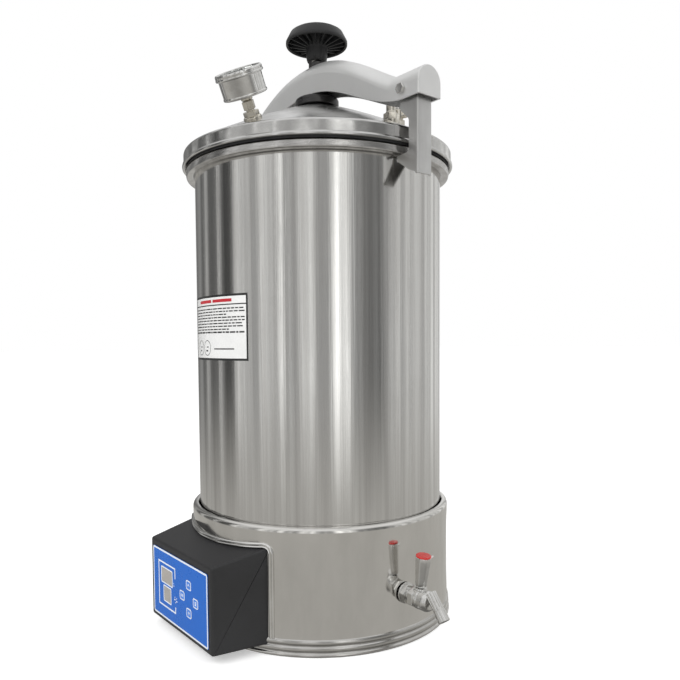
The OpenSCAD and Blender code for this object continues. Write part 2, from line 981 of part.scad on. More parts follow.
module wheel_profile() {
  rise = top_z - wheel_z - 4;
  polygon(concat(
    [[spindle_r, 643], [11, 643], [12.3, 647], [12.3, 658], [15, 665], [32.5, 668.5],
     [33.5, wheel_z]],
    [for (a = [0:15:75])
      [wheel_r - 6 * (1 - cos(a)), wheel_z + 3 + (rise - 3) * sin(a)]],
    [[26, top_z - 1.5], [16, top_z - 0.3], [10, top_z], [10, 670], [spindle_r, 670]]));
}

module handwheel() {
  color(dark)
    union() {
      rotate_extrude() wheel_profile();
      for (a = [0:30:330])
        rotate([0, 0, a]) translate([12, -0.8, 663]) cube([21, 1.6, 7]);
    }
}

module wheel_nut() {
  color(silver)
    difference() {
      translate([0, 0, 670.2]) hex(13, 6);
      translate([0, 0, 660]) cylinder(r = 4, h = 20);
    }
}

base_ring();
bottom_plate();
base_shell();
shell_lip();
box_gasket();
control_box();
control_panel();
display_upper();
display_lower();
control_board();
relay();
transformer();
box_screws();
chamber();
chamber_flange();
label_plate();
heater_element();
heater_nuts();
basket_stand();
temperature_probe();
drain_pipe();
tap_body();
tap_nut();
tap_spout();
cable_gland();
earth_terminal();
key_up();
key_down();
key_left();
key_right();
tap_handle();
tap_cap();
basket();
basket_handle();
basket_pivots();
clamp_arm();
arm_bush();
hook_pin_left();
hook_pin_right();
hook_left();
hook_right();
lid();
lid_seal();
lid_boss();
thrust_ring();
gauge_socket();
gauge_stem();
gauge_case();
gauge_dial();
gauge_glass();
gauge_bezel();
gauge_pointer();
safety_valve();
safety_stem();
exhaust_valve();
exhaust_lever();
spindle();
handwheel();
wheel_nut();
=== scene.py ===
"""Looks of a benchtop steam autoclave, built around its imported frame."""
import bmesh
import bpy
import numpy as np
from mathutils import Matrix, Vector


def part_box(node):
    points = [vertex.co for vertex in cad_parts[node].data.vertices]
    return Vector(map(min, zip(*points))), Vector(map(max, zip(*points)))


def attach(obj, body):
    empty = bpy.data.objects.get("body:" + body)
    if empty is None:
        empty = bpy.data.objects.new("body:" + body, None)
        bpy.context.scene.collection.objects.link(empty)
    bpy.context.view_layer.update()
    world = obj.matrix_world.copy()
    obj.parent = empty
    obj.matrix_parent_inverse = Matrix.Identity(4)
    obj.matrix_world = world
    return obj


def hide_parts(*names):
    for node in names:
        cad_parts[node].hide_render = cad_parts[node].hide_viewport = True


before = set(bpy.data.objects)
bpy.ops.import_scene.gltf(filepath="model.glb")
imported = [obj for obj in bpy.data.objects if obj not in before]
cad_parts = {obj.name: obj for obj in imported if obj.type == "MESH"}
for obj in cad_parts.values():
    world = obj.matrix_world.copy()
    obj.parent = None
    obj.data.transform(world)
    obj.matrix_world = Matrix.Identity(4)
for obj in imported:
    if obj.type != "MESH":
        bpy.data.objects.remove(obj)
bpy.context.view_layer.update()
scene = bpy.context.scene

# ---- Camera ----
# It stands level with the middle of the barrel, off the corner between the
# control panel and the drain tap, and looks very slightly down.
camera = bpy.data.objects.new("camera", bpy.data.cameras.new("camera"))
scene.collection.objects.link(camera)
scene.camera = camera
heading, dip, lean = np.radians([52.1, 2.92, -0.43])
turn = Matrix.Rotation(heading, 3, "Z")
ahead = turn @ Vector((0, np.cos(dip), -np.sin(dip)))
right = turn @ Vector((1, 0, 0))
above = right.cross(ahead)
right, above = (right * np.cos(lean) + above * np.sin(lean),
                above * np.cos(lean) - right * np.sin(lean))
camera.matrix_world = Matrix((right, above, -ahead)).transposed().to_4x4()
camera.location = turn @ Vector((0.0129, -0.808, 0.314))
camera.data.sensor_width = 36
camera.data.lens = 35.58
camera.data.shift_x = 0.01456
camera.data.shift_y = 0.05412
camera.data.clip_start = 0.02

# ---- Studio ----
# A pale floor, one soft lamp above on each side, and a white room with a few
# grey screens round it, which polished steel needs to show its shape.
scene.view_settings.view_transform = "Standard"
floor_mesh = bpy.data.meshes.new("floor")
reach = 30.0
floor_mesh.from_pydata([(-reach, -reach, 0), (reach, -reach, 0), (reach, reach, 0), (-reach, reach, 0)],
                       [], [(0, 1, 2, 3)])
floor = bpy.data.objects.new("floor", floor_mesh)
scene.collection.objects.link(floor)
floor.location.z = -0.0004
floor.visible_glossy = False
floor_paint = bpy.data.materials.new("floor_paint")
floor_paint.use_nodes = True
floor_shader = floor_paint.node_tree.nodes["Principled BSDF"]
floor_shader.inputs["Base Color"].default_value = (0.93, 0.93, 0.93, 1)
floor_shader.inputs["Roughness"].default_value = 0.9
floor_shader.inputs["Specular IOR Level"].default_value = 0.1
floor_shader.inputs["Emission Color"].default_value = (1, 1, 1, 1)
floor_shader.inputs["Emission Strength"].default_value = 0.42
floor_mesh.materials.append(floor_paint)

# Brightness of the room's wall by bearing, in degrees from the camera's own
SCREENS = [(-180, 0.7), (-152, 0.12), (-147, 0.4), (-132, 0.08), (-124, 0.6), (-119, 0.13), (-105, 0.15),
           (-103, 1.2), (-100, 0.18), (-89, 0.07), (-83, 0.07), (-81, 1.35), (-76, 0.75), (-57, 0.36),
           (-52, 0.85), (-42, 0.85), (-38, 0.28), (-35, 1.25), (-31, 0.45), (-18, 0.6), (-7, 1.1),
           (-3, 0.4), (10, 0.42), (14, 1.5), (24, 1.5), (26, 0.66), (38, 0.3), (48, 0.17), (57, 0.2),
           (66, 0.64), (150, 0.74)]
room = bpy.data.worlds.new("room")
scene.world = room
room.use_nodes = True
tree = room.node_tree
tree.nodes.clear()


def node(tree, kind, **values):
    """A new node of that kind in the tree, with its named properties and input values set."""
    made = tree.nodes.new("ShaderNode" + kind)
    for key, value in values.items():
        if key in made.inputs.keys():
            made.inputs[key].default_value = value
        else:
            setattr(made, key, value)
    return made


view_from = node(tree, "TexCoord")
axes = node(tree, "SeparateXYZ")
bearing = node(tree, "Math", operation="ARCTAN2")
from_camera = node(tree, "Math", operation="ADD")
from_camera.inputs[1].default_value = 0.6435 + np.pi
turns = node(tree, "Math", operation="MULTIPLY")
turns.inputs[1].default_value = 0.5 / np.pi
share = node(tree, "Math", operation="FRACT")
wall = node(tree, "ValToRGB")
ramp = wall.color_ramp
ramp.elements[0].position = 0
ramp.elements[1].position = 1
for degrees, light in SCREENS[1:]:
    ramp.elements.new(degrees / 360 + 0.5).color = (light, light, light * 0.985, 1)
first = SCREENS[0][1]
ramp.elements[0].color = ramp.elements[-1].color = (first, first, first, 1)
ground = node(tree, "MapRange", interpolation_type="SMOOTHSTEP")
ground.inputs["From Min"].default_value = -0.02
ground.inputs["From Max"].default_value = -0.3
below = node(tree, "Mix", data_type="RGBA")
below.inputs["B"].default_value = (0.47, 0.46, 0.435, 1)
streak = node(tree, "TexNoise", noise_dimensions="1D", Scale=60.0, Detail=5.0)
streak_light = node(tree, "MapRange")
for key, value in (("From Min", 0.35), ("From Max", 0.65), ("To Min", 0.55), ("To Max", 1.3)):
    streak_light.inputs[key].default_value = value
streaked = node(tree, "VectorMath", operation="SCALE")
pit = node(tree, "MapRange", interpolation_type="SMOOTHSTEP")
for key, value in (("From Min", -0.38), ("From Max", -0.8), ("To Min", 1.0), ("To Max", 0.35)):
    pit.inputs[key].default_value = value
darkened = node(tree, "VectorMath", operation="SCALE")
ceiling = node(tree, "MapRange", interpolation_type="SMOOTHSTEP")
ceiling.inputs["From Min"].default_value = 0.42
ceiling.inputs["From Max"].default_value = 0.8
overhead = node(tree, "Mix", data_type="RGBA")
overhead.inputs["B"].default_value = (0.86, 0.86, 0.86, 1)
seen = node(tree, "LightPath")
walls = node(tree, "Background")
plain = node(tree, "Background", Color=(1, 1, 1, 1), Strength=1.0)
either = node(tree, "MixShader")
output = node(tree, "OutputWorld")
link = tree.links.new
link(view_from.outputs["Generated"], axes.inputs[0])
link(axes.outputs["Y"], bearing.inputs[0])
link(axes.outputs["X"], bearing.inputs[1])
link(bearing.outputs[0], from_camera.inputs[0])
link(from_camera.outputs[0], turns.inputs[0])
link(turns.outputs[0], share.inputs[0])
link(share.outputs[0], wall.inputs[0])
link(axes.outputs["Z"], ceiling.inputs["Value"])
link(ceiling.outputs["Result"], overhead.inputs["Factor"])
link(axes.outputs["Z"], ground.inputs["Value"])
link(ground.outputs["Result"], below.inputs["Factor"])
link(share.outputs[0], streak.inputs["W"])
link(streak.outputs["Fac"], streak_light.inputs["Value"])
link(wall.outputs["Color"], streaked.inputs[0])
link(streak_light.outputs["Result"], streaked.inputs["Scale"])
link(streaked.outputs[0], below.inputs["A"])
link(axes.outputs["Z"], pit.inputs["Value"])
link(below.outputs["Result"], darkened.inputs[0])
link(pit.outputs["Result"], darkened.inputs["Scale"])
link(darkened.outputs[0], overhead.inputs["A"])
link(overhead.outputs["Result"], walls.inputs["Color"])
link(seen.outputs["Is Camera Ray"], either.inputs[0])
link(walls.outputs[0], either.inputs[1])
link(plain.outputs[0], either.inputs[2])
link(either.outputs[0], output.inputs["Surface"])
for side, power in ((-1, 9), (1, 6)):
    lamp = bpy.data.objects.new("soft_lamp", bpy.data.lights.new("soft_lamp", "AREA"))
    scene.collection.objects.link(lamp)
    lamp.visible_glossy = False
    lamp.data.size = 0.9
    lamp.data.energy = power
    lamp.location = camera.location * 0.9 + Vector((side * 0.75, side * 0.9, 0.95))
    lamp.rotation_euler = (Vector((0, 0, 0.35)) - lamp.location).to_track_quat("-Z", "Y").to_euler()

# ---- Base ring ----
# The machine stands on a ring rolled from stainless strip, with a thin flared
# lip at the bench and three soft beads above it. The drum sits in its top.
wear = bpy.data.node_groups.new("wear", "ShaderNodeTree")
for name, kind in (("Place", "Vector"), ("Lines", "Vector"), ("Cloud", "Float"), ("Sheer", "Float"),
                   ("Clean", "Color"), ("Worn", "Color"), ("Smooth", "Float"), ("Rough", "Float")):
    wear.interface.new_socket(name, in_out="INPUT", socket_type="NodeSocket" + kind)
for name, kind in (("Colour", "Color"), ("Roughness", "Float"), ("Height", "Float")):
    wear.interface.new_socket(name, in_out="OUTPUT", socket_type="NodeSocket" + kind)
given = wear.nodes.new("NodeGroupInput")
stretched = node(wear, "VectorMath", operation="MULTIPLY")
lines = node(wear, "TexNoise", Scale=1.0, Detail=6.0, Roughness=0.62)
cloud = node(wear, "TexNoise", Detail=4.0, Roughness=0.55)
spread = node(wear, "MapRange")
spread.inputs["From Min"].default_value = 0.36
spread.inputs["From Max"].default_value = 0.64
blend = node(wear, "Mix", data_type="FLOAT")
tint = node(wear, "Mix", data_type="RGBA")
dull = node(wear, "Mix", data_type="FLOAT")
given_back = wear.nodes.new("NodeGroupOutput")
link = wear.links.new
link(given.outputs["Place"], stretched.inputs[0])
link(given.outputs["Lines"], stretched.inputs[1])
link(stretched.outputs[0], lines.inputs["Vector"])
link(given.outputs["Place"], cloud.inputs["Vector"])
link(given.outputs["Cloud"], cloud.inputs["Scale"])
link(given.outputs["Sheer"], blend.inputs["Factor"])
link(cloud.outputs["Fac"], blend.inputs["A"])
link(lines.outputs["Fac"], blend.inputs["B"])
link(blend.outputs["Result"], spread.inputs["Value"])
link(spread.outputs["Result"], tint.inputs["Factor"])
link(given.outputs["Clean"], tint.inputs["A"])
link(given.outputs["Worn"], tint.inputs["B"])
link(spread.outputs["Result"], dull.inputs["Factor"])
link(given.outputs["Smooth"], dull.inputs["A"])
link(given.outputs["Rough"], dull.inputs["B"])
link(tint.outputs["Result"], given_back.inputs["Colour"])
link(dull.outputs["Result"], given_back.inputs["Roughness"])
link(lines.outputs["Fac"], given_back.inputs["Height"])


def finish(name, clean, worn, rough, lines=(40, 40, 40), cloud=20, sheer=0.5, bump=0.05, **sockets):
    """A material whose colour and roughness run between two values with stretched lines and soft clouds.

    The lines also raise the surface by the bump strength; sockets go straight onto the shader."""
    made = bpy.data.materials.new(name)
    made.use_nodes = True
    tree = made.node_tree
    shader = tree.nodes["Principled BSDF"]
    place = node(tree, "TexCoord")
    group = tree.nodes.new("ShaderNodeGroup")
    group.node_tree = wear
    relief = node(tree, "Bump", Strength=bump, Distance=0.001)
    for key, value in (("Lines", lines), ("Cloud", cloud), ("Sheer", sheer), ("Smooth", rough[0]),
                       ("Rough", rough[1]), ("Clean", (*clean, 1)), ("Worn", (*worn, 1))):
        group.inputs[key].default_value = value
    tree.links.new(place.outputs["Object"], group.inputs["Place"])
    tree.links.new(group.outputs["Colour"], shader.inputs["Base Color"])
    tree.links.new(group.outputs["Roughness"], shader.inputs["Roughness"])
    tree.links.new(group.outputs["Height"], relief.inputs["Height"])
    tree.links.new(relief.outputs["Normal"], shader.inputs["Normal"])
    for key, value in sockets.items():
        shader.inputs[key.replace("_", " ")].default_value = value
    return made


def solid(name, points, faces, sharp=32):
    """A mesh of those points, in millimetres, and faces, turned outwards and smooth but for sharp edges."""
    mesh = bpy.data.meshes.new(name)
    mesh.from_pydata((np.asarray(points, float) * 0.001).tolist(), [], faces)
    work = bmesh.new()
    work.from_mesh(mesh)
    bmesh.ops.remove_doubles(work, verts=work.verts, dist=2e-6)
    bmesh.ops.recalc_face_normals(work, faces=work.faces)
    work.to_mesh(mesh)
    work.free()
    mesh.shade_smooth()
    mesh.set_sharp_from_angle(angle=np.radians(sharp))
    made = bpy.data.objects.new(name, mesh)
    scene.collection.objects.link(made)
    flats = made.modifiers.new("flats", "WEIGHTED_NORMAL")
    flats.keep_sharp = True
    return made


def quads(rows, columns, wrap_rows, wrap_columns):
    """Corner numbers of the squares of a grid; a wrapped side joins its last points to its first."""
    index = np.arange(rows * columns).reshape(rows, columns)
    if wrap_rows:
        index = np.vstack([index, index[:1]])
    if wrap_columns:
        index = np.hstack([index, index[:, :1]])
    return np.stack([index[:-1, :-1], index[1:, :-1], index[1:, 1:], index[:-1, 1:]], -1).reshape(-1, 4)


def skin(name, grid, wrap_rows=False, wrap_columns=True, sharp=32):
    """A surface over a grid of points (rows, columns, 3) in millimetres."""
    rows, columns = grid.shape[:2]
    return solid(name, grid.reshape(-1, 3), quads(rows, columns, wrap_rows, wrap_columns).tolist(), sharp)


def rounded(outline, radius, steps=5):
    """A closed outline with its corners cut back by the radius and joined by parabolas.

    Each parabola leaves along one edge and arrives along the next; a cut is at most 0.45 of its edge."""
    corner = np.asarray(outline, float)
    cut = np.broadcast_to(np.asarray(radius, float), len(corner))[:, None]
    back = np.roll(corner, 1, 0) - corner
    on = np.roll(corner, -1, 0) - corner
    back_length = np.linalg.norm(back, axis=1, keepdims=True)
    on_length = np.linalg.norm(on, axis=1, keepdims=True)
    start = corner + back / back_length * np.minimum(cut, 0.45 * back_length)
    end = corner + on / on_length * np.minimum(cut, 0.45 * on_length)
    t = np.linspace(0, 1, steps)[None, :, None]
    curve = (1 - t) ** 2 * start[:, None] + 2 * t * (1 - t) * corner[:, None] + t ** 2 * end[:, None]
    return curve.reshape(-1, 2)


def turned(name, profile, around=128, swell=None, sharp=32):
    """A profile of (radius, height) points carried round the Z axis.

    A closed profile makes a ring; one that starts and ends on the axis makes a solid of revolution.
    swell(angle, radius, height) is added to the radius."""
    profile = np.asarray(profile, float)
    angle = np.linspace(0, 2 * np.pi, around, endpoint=False)[None, :]
    radius = np.repeat(profile[:, :1], around, 1)
    height = np.repeat(profile[:, 1:], around, 1)
    if swell is not None:
        radius = radius + swell(angle, radius, height) * (radius > 0)
    grid = np.stack([radius * np.cos(angle), radius * np.sin(angle), height], -1)
    return skin(name, grid, wrap_rows=profile[0, 0] > 0, sharp=sharp)


def fit(piece, material, body, slot, *nodes):
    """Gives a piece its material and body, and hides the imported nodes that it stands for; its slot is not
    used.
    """
    piece.data.materials.append(material)
    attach(piece, body)
    if nodes:
        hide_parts(*nodes)
    return piece


def size(name):
    """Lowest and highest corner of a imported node, in millimetres."""
    low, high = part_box(name)
    return np.array(low) * 1000, np.array(high) * 1000


ring_r, ring_h = size("base_ring")[1][[0, 2]]
steel_rolled = finish("rolled_steel", (0.68, 0.67, 0.655), (0.52, 0.51, 0.49), (0.1, 0.26),
                      lines=(30, 30, 260), cloud=9, sheer=0.6, bump=0.05, Metallic=1.0)
ring_outline = rounded([(ring_r - 6, 0), (ring_r, 0), (ring_r, 2.6), (ring_r - 1.6, 3.6),
                        (ring_r - 1.6, 5.0), (ring_r - 0.4, 6.0), (ring_r - 0.4, 9.2),
                        (ring_r - 1.8, 10.2), (ring_r - 1.8, 11.6), (ring_r - 0.9, 12.6),
                        (ring_r - 0.9, 15.2), (ring_r - 2.2, ring_h), (ring_r - 3.6, ring_h),
                        (ring_r - 3.6, 11), (ring_r - 6, 11)], 1.1)
fit(turned("foot_ring", ring_outline, 192), steel_rolled, "base", "satin_steel", "base_ring")

# ---- Bottom plate ----
# A vented steel floor, spot-welded inside the ring. It is punched, and keeps
# the dull finish of the mill.
steel_mill = finish("mill_steel", (0.5, 0.5, 0.5), (0.36, 0.36, 0.36), (0.34, 0.55),
                    lines=(220, 18, 220), cloud=14, bump=0.12, Metallic=1.0)


def coat(material, *nodes):
    """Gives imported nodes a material."""
    for name in nodes:
        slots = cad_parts[name].data.materials
        slots.clear()
        slots.append(material)


coat(steel_mill, "bottom_plate")

# ---- Base drum ----
# Polished stainless sheet rolled into a drum, with its top turned over in a
# round rim that stops just short of the barrel. Hand polishing left it wavy.
barrel_r = -size("label_plate")[0][1] - 0.4
shell_r, shell_top = size("base_shell")[1][[0, 2]]
steel_polished = finish("polished_steel", (0.78, 0.765, 0.74), (0.66, 0.65, 0.625), (0.06, 0.16),
                        lines=(26, 26, 9), cloud=7, sheer=0.5, bump=0.1, Metallic=1.0)


def hand_waves(angle, radius, height):
    """Two slow waves round the drum and one that leans as it rises, fading out towards both edges."""
    middle = np.clip((height - ring_h) / 30, 0, 1) * np.clip((shell_top - 6 - height) / 20, 0, 1)
    slow = 0.3 * np.sin(5 * angle + 1.1) + 0.16 * np.sin(11 * angle + height / 23)
    return middle * (slow + 0.05 * np.sin(29 * angle + np.sin(height / 11)) - 0.4)


drum_turn = np.linspace(0, np.pi / 2, 9)
drum_rise = np.linspace(ring_h - 1, shell_top - 5.5, 28)
drum_outside = np.column_stack([np.full(28, shell_r), drum_rise])
drum_rim = np.column_stack([shell_r - 5 + 5 * np.cos(drum_turn), shell_top - 5 + 5 * np.sin(drum_turn)])
drum_inside = [(barrel_r + 2.4, shell_top), (barrel_r + 1.6, shell_top - 1), (barrel_r + 1.6, shell_top - 6),
               (barrel_r + 2.1, shell_top - 6), (shell_r - 1.6, shell_top - 8), (shell_r - 1.6, ring_h - 1)]
drum = turned("base_drum", np.vstack([drum_outside, drum_rim, drum_inside]), 256, hand_waves)
fit(drum, steel_polished, "base", "polished_steel", "base_shell")

# ---- Edging round the control box ----
# A folded strip of bright steel frames the opening of the drum. It is bent
# round the box in one length, with two soft ridges and a groove between.
lip_half, lip_top, lip_bend = 84.0, 106.5, 8.0
box_slope = 0.193
lip_start = np.column_stack([np.full(12, -lip_half), np.linspace(ring_h - 0.5, lip_top - lip_bend, 12)])
lip_angle = np.linspace(np.pi, np.pi / 2, 9)[1:]
lip_corner = np.column_stack([-lip_half + lip_bend + lip_bend * np.cos(lip_angle),
                              lip_top - lip_bend + lip_bend * np.sin(lip_angle)])
lip_run = np.column_stack([np.linspace(-lip_half + lip_bend, 0, 24)[1:], np.full(23, lip_top)])
lip_left = np.vstack([lip_start, lip_corner, lip_run])
lip_path = np.vstack([lip_left, (lip_left * (-1, 1))[-2::-1]])
lip_climb = box_slope * (shell_r - np.sqrt(shell_r ** 2 - lip_path[:, 0] ** 2))
lip_path[:, 1] += lip_climb * np.clip((lip_path[:, 1] - 60) / (lip_top - 60), 0, 1)
lip_section = np.array([(-2.9, -0.4), (-2.9, 0.6), (-2.4, 1.7), (-1.5, 2.2), (-0.6, 1.7), (-0.1, 0.7),
                        (0.2, 0.7), (0.7, 1.5), (1.6, 2.0), (2.4, 1.5), (2.9, 0.5), (2.9, -0.4)])


def on_drum(path, radius):
    """Points (x, z) of a path laid on the front of an upright cylinder, and the outward direction there."""
    depth = -np.sqrt(radius ** 2 - path[:, 0] ** 2)
    point = np.column_stack([path[:, 0], depth, path[:, 1]])
    outward = np.column_stack([path[:, 0], depth, np.zeros(len(path))]) / radius
    return point, outward


def swept(name, point, outward, section, sharp=32):
    """A closed section of (sideways, outwards) offsets carried along points, and capped at both ends."""
    along = np.gradient(point, axis=0)
    side = np.cross(along, outward)
    side /= np.linalg.norm(side, axis=1, keepdims=True)
    grid = (point[:, None] + side[:, None] * section[None, :, :1] + outward[:, None] * section[None, :, 1:])
    rows, columns = grid.shape[:2]
    faces = quads(rows, columns, False, True).tolist()
    ends = [list(range(columns)), list(range((rows - 1) * columns, rows * columns))]
    return solid(name, grid.reshape(-1, 3), faces + ends, sharp)


lip_point, lip_outward = on_drum(lip_path, shell_r)
steel_bright = finish("bright_steel", (0.84, 0.835, 0.82), (0.72, 0.71, 0.69), (0.05, 0.15),
                      lines=(60, 60, 60), cloud=25, bump=0.04, Metallic=1.0)
fit(swept("box_edging", lip_point, lip_outward, lip_section, 50), steel_bright, "base", "polished_steel",
    "shell_lip")
rubber = finish("black_rubber", (0.016, 0.016, 0.016), (0.035, 0.035, 0.036), (0.5, 0.7),
                lines=(300, 300, 300), cloud=60, bump=0.15)
# The gasket is black rubber, and its black also paints the shade in the gap between the box's sides and the
# edging.
coat(rubber, "box_gasket")

# ---- Control box ----
# A folded steel box with a sloping lid, powder-coated near-black. Its corners
# are soft.
box_low = size("control_box")[0]
box_half, box_flare = 70.9, 0.17
box_front, box_bottom = box_low[1], box_low[2]
box_front_top, box_back = 96.7, -124.0
powder = finish("powder_coat", (0.017, 0.017, 0.018), (0.026, 0.026, 0.028), (0.4, 0.55),
                lines=(1400, 1400, 1400), cloud=16, sheer=0.3, bump=0.22)


def slab(name, outline, levels, sharp=32):
    """A counter-clockwise outline (x, y) lofted through (height, inset) levels, with flat ends.

    An inset draws every point in along the mean normal of its two edges."""
    corner = np.asarray(outline, float)
    edge = np.roll(corner, -1, 0) - corner
    normal = np.column_stack([edge[:, 1], -edge[:, 0]]) / np.linalg.norm(edge, axis=1, keepdims=True)
    before = np.roll(normal, 1, 0)
    push = (normal + before) / np.maximum(1 + (normal * before).sum(1, keepdims=True), 0.4)
    level = np.asarray(levels, float)
    flat = corner[None] - push[None] * level[:, None, 1:]
    high = np.broadcast_to(level[:, None, :1], (len(level), len(corner), 1))
    grid = np.concatenate([flat, high], -1)
    rows, columns = grid.shape[:2]
    faces = quads(rows, columns, False, True).tolist()
    ends = [list(range(columns)), list(range((rows - 1) * columns, rows * columns))]
    return solid(name, grid.reshape(-1, 3), faces + ends, sharp)


def eased(low, high, soft, steps=4):
    """Levels of a slab whose two edges are rounded by quarter circles of that radius."""
    a = np.linspace(0, np.pi / 2, steps)
    start = np.column_stack([low + soft - soft * np.cos(a), soft - soft * np.sin(a)])
    end = np.column_stack([high - soft + soft * np.sin(a), soft - soft * np.cos(a)])
    return np.vstack([start, end])


def put(piece, matrix):
    """Moves a piece's mesh to its place; the matrix is in metres."""
    piece.data.transform(matrix)
    if matrix.determinant() < 0:
        piece.data.flip_normals()
    return piece


box_rise = box_slope * (box_back - box_front)
box_side = rounded([(box_front, box_bottom), (box_back, box_bottom), (box_back, box_front_top + box_rise),
                    (box_front, box_front_top)], 2.6)
ALONG_X = Matrix(((0, 0, 1, 0), (1, 0, 0, 0), (0, 1, 0, 0), (0, 0, 0, 1)))


def flared(piece):
    """Widens a piece towards the drum: x grows by the flare for each millimetre behind the box's front."""
    point = np.empty(len(piece.data.vertices) * 3)
    piece.data.vertices.foreach_get("co", point)
    point = point.reshape(-1, 3)
    point[:, 0] *= 1 + box_flare * (point[:, 1] * 1000 - box_front) / box_half
    piece.data.vertices.foreach_set("co", point.ravel())
    return piece


box = slab("control_box_case", box_side, eased(-box_half, box_half, 2.4, 7), 5)
fit(flared(put(box, ALONG_X)), powder, "base", "black_paint", "control_box")

# ---- Control panel ----
# A blue membrane overlay, printed from behind with a white border, a bracket
# round the two displays, and small marks for the lamps.
panel_low, panel_high = size("control_panel")
panel_mid = (panel_low + panel_high) / 2
panel_w, panel_h = (panel_high - panel_low)[[0, 2]]
FACING = Matrix.Rotation(np.pi / 2, 4, "X")
film = finish("blue_film", (0.003, 0.115, 0.5), (0.003, 0.12, 0.52), (0.26, 0.32),
              lines=(900, 900, 900), cloud=30, bump=0.05, Specular_IOR_Level=0.25)
ink = finish("white_ink", (0.76, 0.8, 0.86), (0.68, 0.73, 0.8), (0.3, 0.42),
             lines=(900, 900, 900), cloud=60, bump=0.03)


def block(width, height, corner, centre=(0, 0)):
    """Outline of a rectangle with rounded corners, counter-clockwise."""
    half_w, half_h = width / 2, height / 2
    square = np.array([(-half_w, -half_h), (half_w, -half_h), (half_w, half_h), (-half_w, half_h)])
    return rounded(square + centre, corner)


def traced(path, width, low, high, closed=False):
    """Points and faces of a flat printed line: a path (x, y) given a width and a thin body.

    Each point is offset by half the width along the mean normal of its two stretches."""
    path = np.asarray(path, float)
    ahead = np.roll(path, -1, 0) - path
    behind = path - np.roll(path, 1, 0)
    if not closed:
        ahead[-1], behind[0] = behind[-1], ahead[0]
    ahead = ahead / np.linalg.norm(ahead, axis=1, keepdims=True)
    behind = behind / np.linalg.norm(behind, axis=1, keepdims=True)
    normal = np.column_stack([-(ahead + behind)[:, 1], (ahead + behind)[:, 0]])
    normal /= np.maximum(1 + (ahead * behind).sum(1, keepdims=True), 0.5)
    left, right = path + normal * width / 2, path - normal * width / 2
    layer = [np.column_stack([side, np.full(len(path), h)])
             for side, h in ((left, low), (left, high), (right, high), (right, low))]
    grid = np.stack(layer, 1)
    faces = quads(len(path), 4, closed, True).tolist()
    if not closed:
        last = 4 * (len(path) - 1)
        faces += [[0, 1, 2, 3], [last + 3, last + 2, last + 1, last]]
    return grid.reshape(-1, 3), faces


def printed(name, marks, sharp=32):
    """One mesh of several separate marks, each given as its points and faces."""
    starts = np.cumsum([0] + [len(points) for points, _ in marks])
    faces = [[corner + start for corner in face] for start, (_, mark) in zip(starts, marks) for face in mark]
    return solid(name, np.vstack([points for points, _ in marks]), faces, sharp)


overlay = slab("panel_overlay", block(panel_w, panel_h, 2.2, panel_mid[[0, 2]]),
               eased(-box_front, -panel_low[1], 0.3, 3))
fit(put(overlay, FACING), film, "base", "panel_film", "control_panel")
print_low, print_high = -panel_low[1] - 0.1, -panel_low[1] + 0.04
border = block(panel_w - 2.2, panel_h - 2.2, 2, panel_mid[[0, 2]])
bracket = [(-8.6, 64.9), (-8.8, 75.7), (-49.3, 75.7), (-49.3, 28.1), (-8.5, 28.1), (-8.0, 34.5)]
marks = [traced(border, 1.9, print_low, print_high, True), traced(bracket, 1.7, print_low, print_high)]
marks += [traced([(x, z), (x + w, z)], 1.2, print_low, print_high)
          for x, z, w in ((-12.6, 56.6, 1.6), (-12.6, 59.2, 1.0), (-11.2, 42.6, 3.0), (-6.6, 41.6, 2.6),
                          (-10.4, 45.0, 1.2), (-6.2, 44.6, 1.4), (-8.6, 39.8, 1.0))]
fit(put(printed("panel_print", marks), FACING), ink, "base", "panel_film")

# ---- Displays ----
# Two smoked windows behind the overlay, each in a pale printed surround. They
# are dark-grey moulded blocks with a flat, slightly glossy face.
smoked = finish("smoked_window", (0.37, 0.345, 0.32), (0.3, 0.28, 0.26), (0.12, 0.2),
                lines=(12, 12, 30), cloud=40, bump=0.01, Coat_Weight=0.6, Coat_Roughness=0.06)
surrounds = []
for name in ("display_upper", "display_lower"):
    low, high = size(name)
    centre = np.array([(low[0] + high[0]) / 2, (low[2] + high[2]) / 2])
    wide, tall = (high - low)[[0, 2]] - (4, 2)
    face = slab(name + "_window", block(wide, tall, 0.7, centre), eased(-high[1], print_high, 0.25, 3))
    fit(put(face, FACING), smoked, "base", "display_window", name)
    surrounds.append(traced(block(wide + 1.1, tall + 1.1, 1.0, centre), 1.3, print_low, print_high, True))
fit(put(printed("display_surrounds", surrounds), FACING), ink, "base", "display_window")
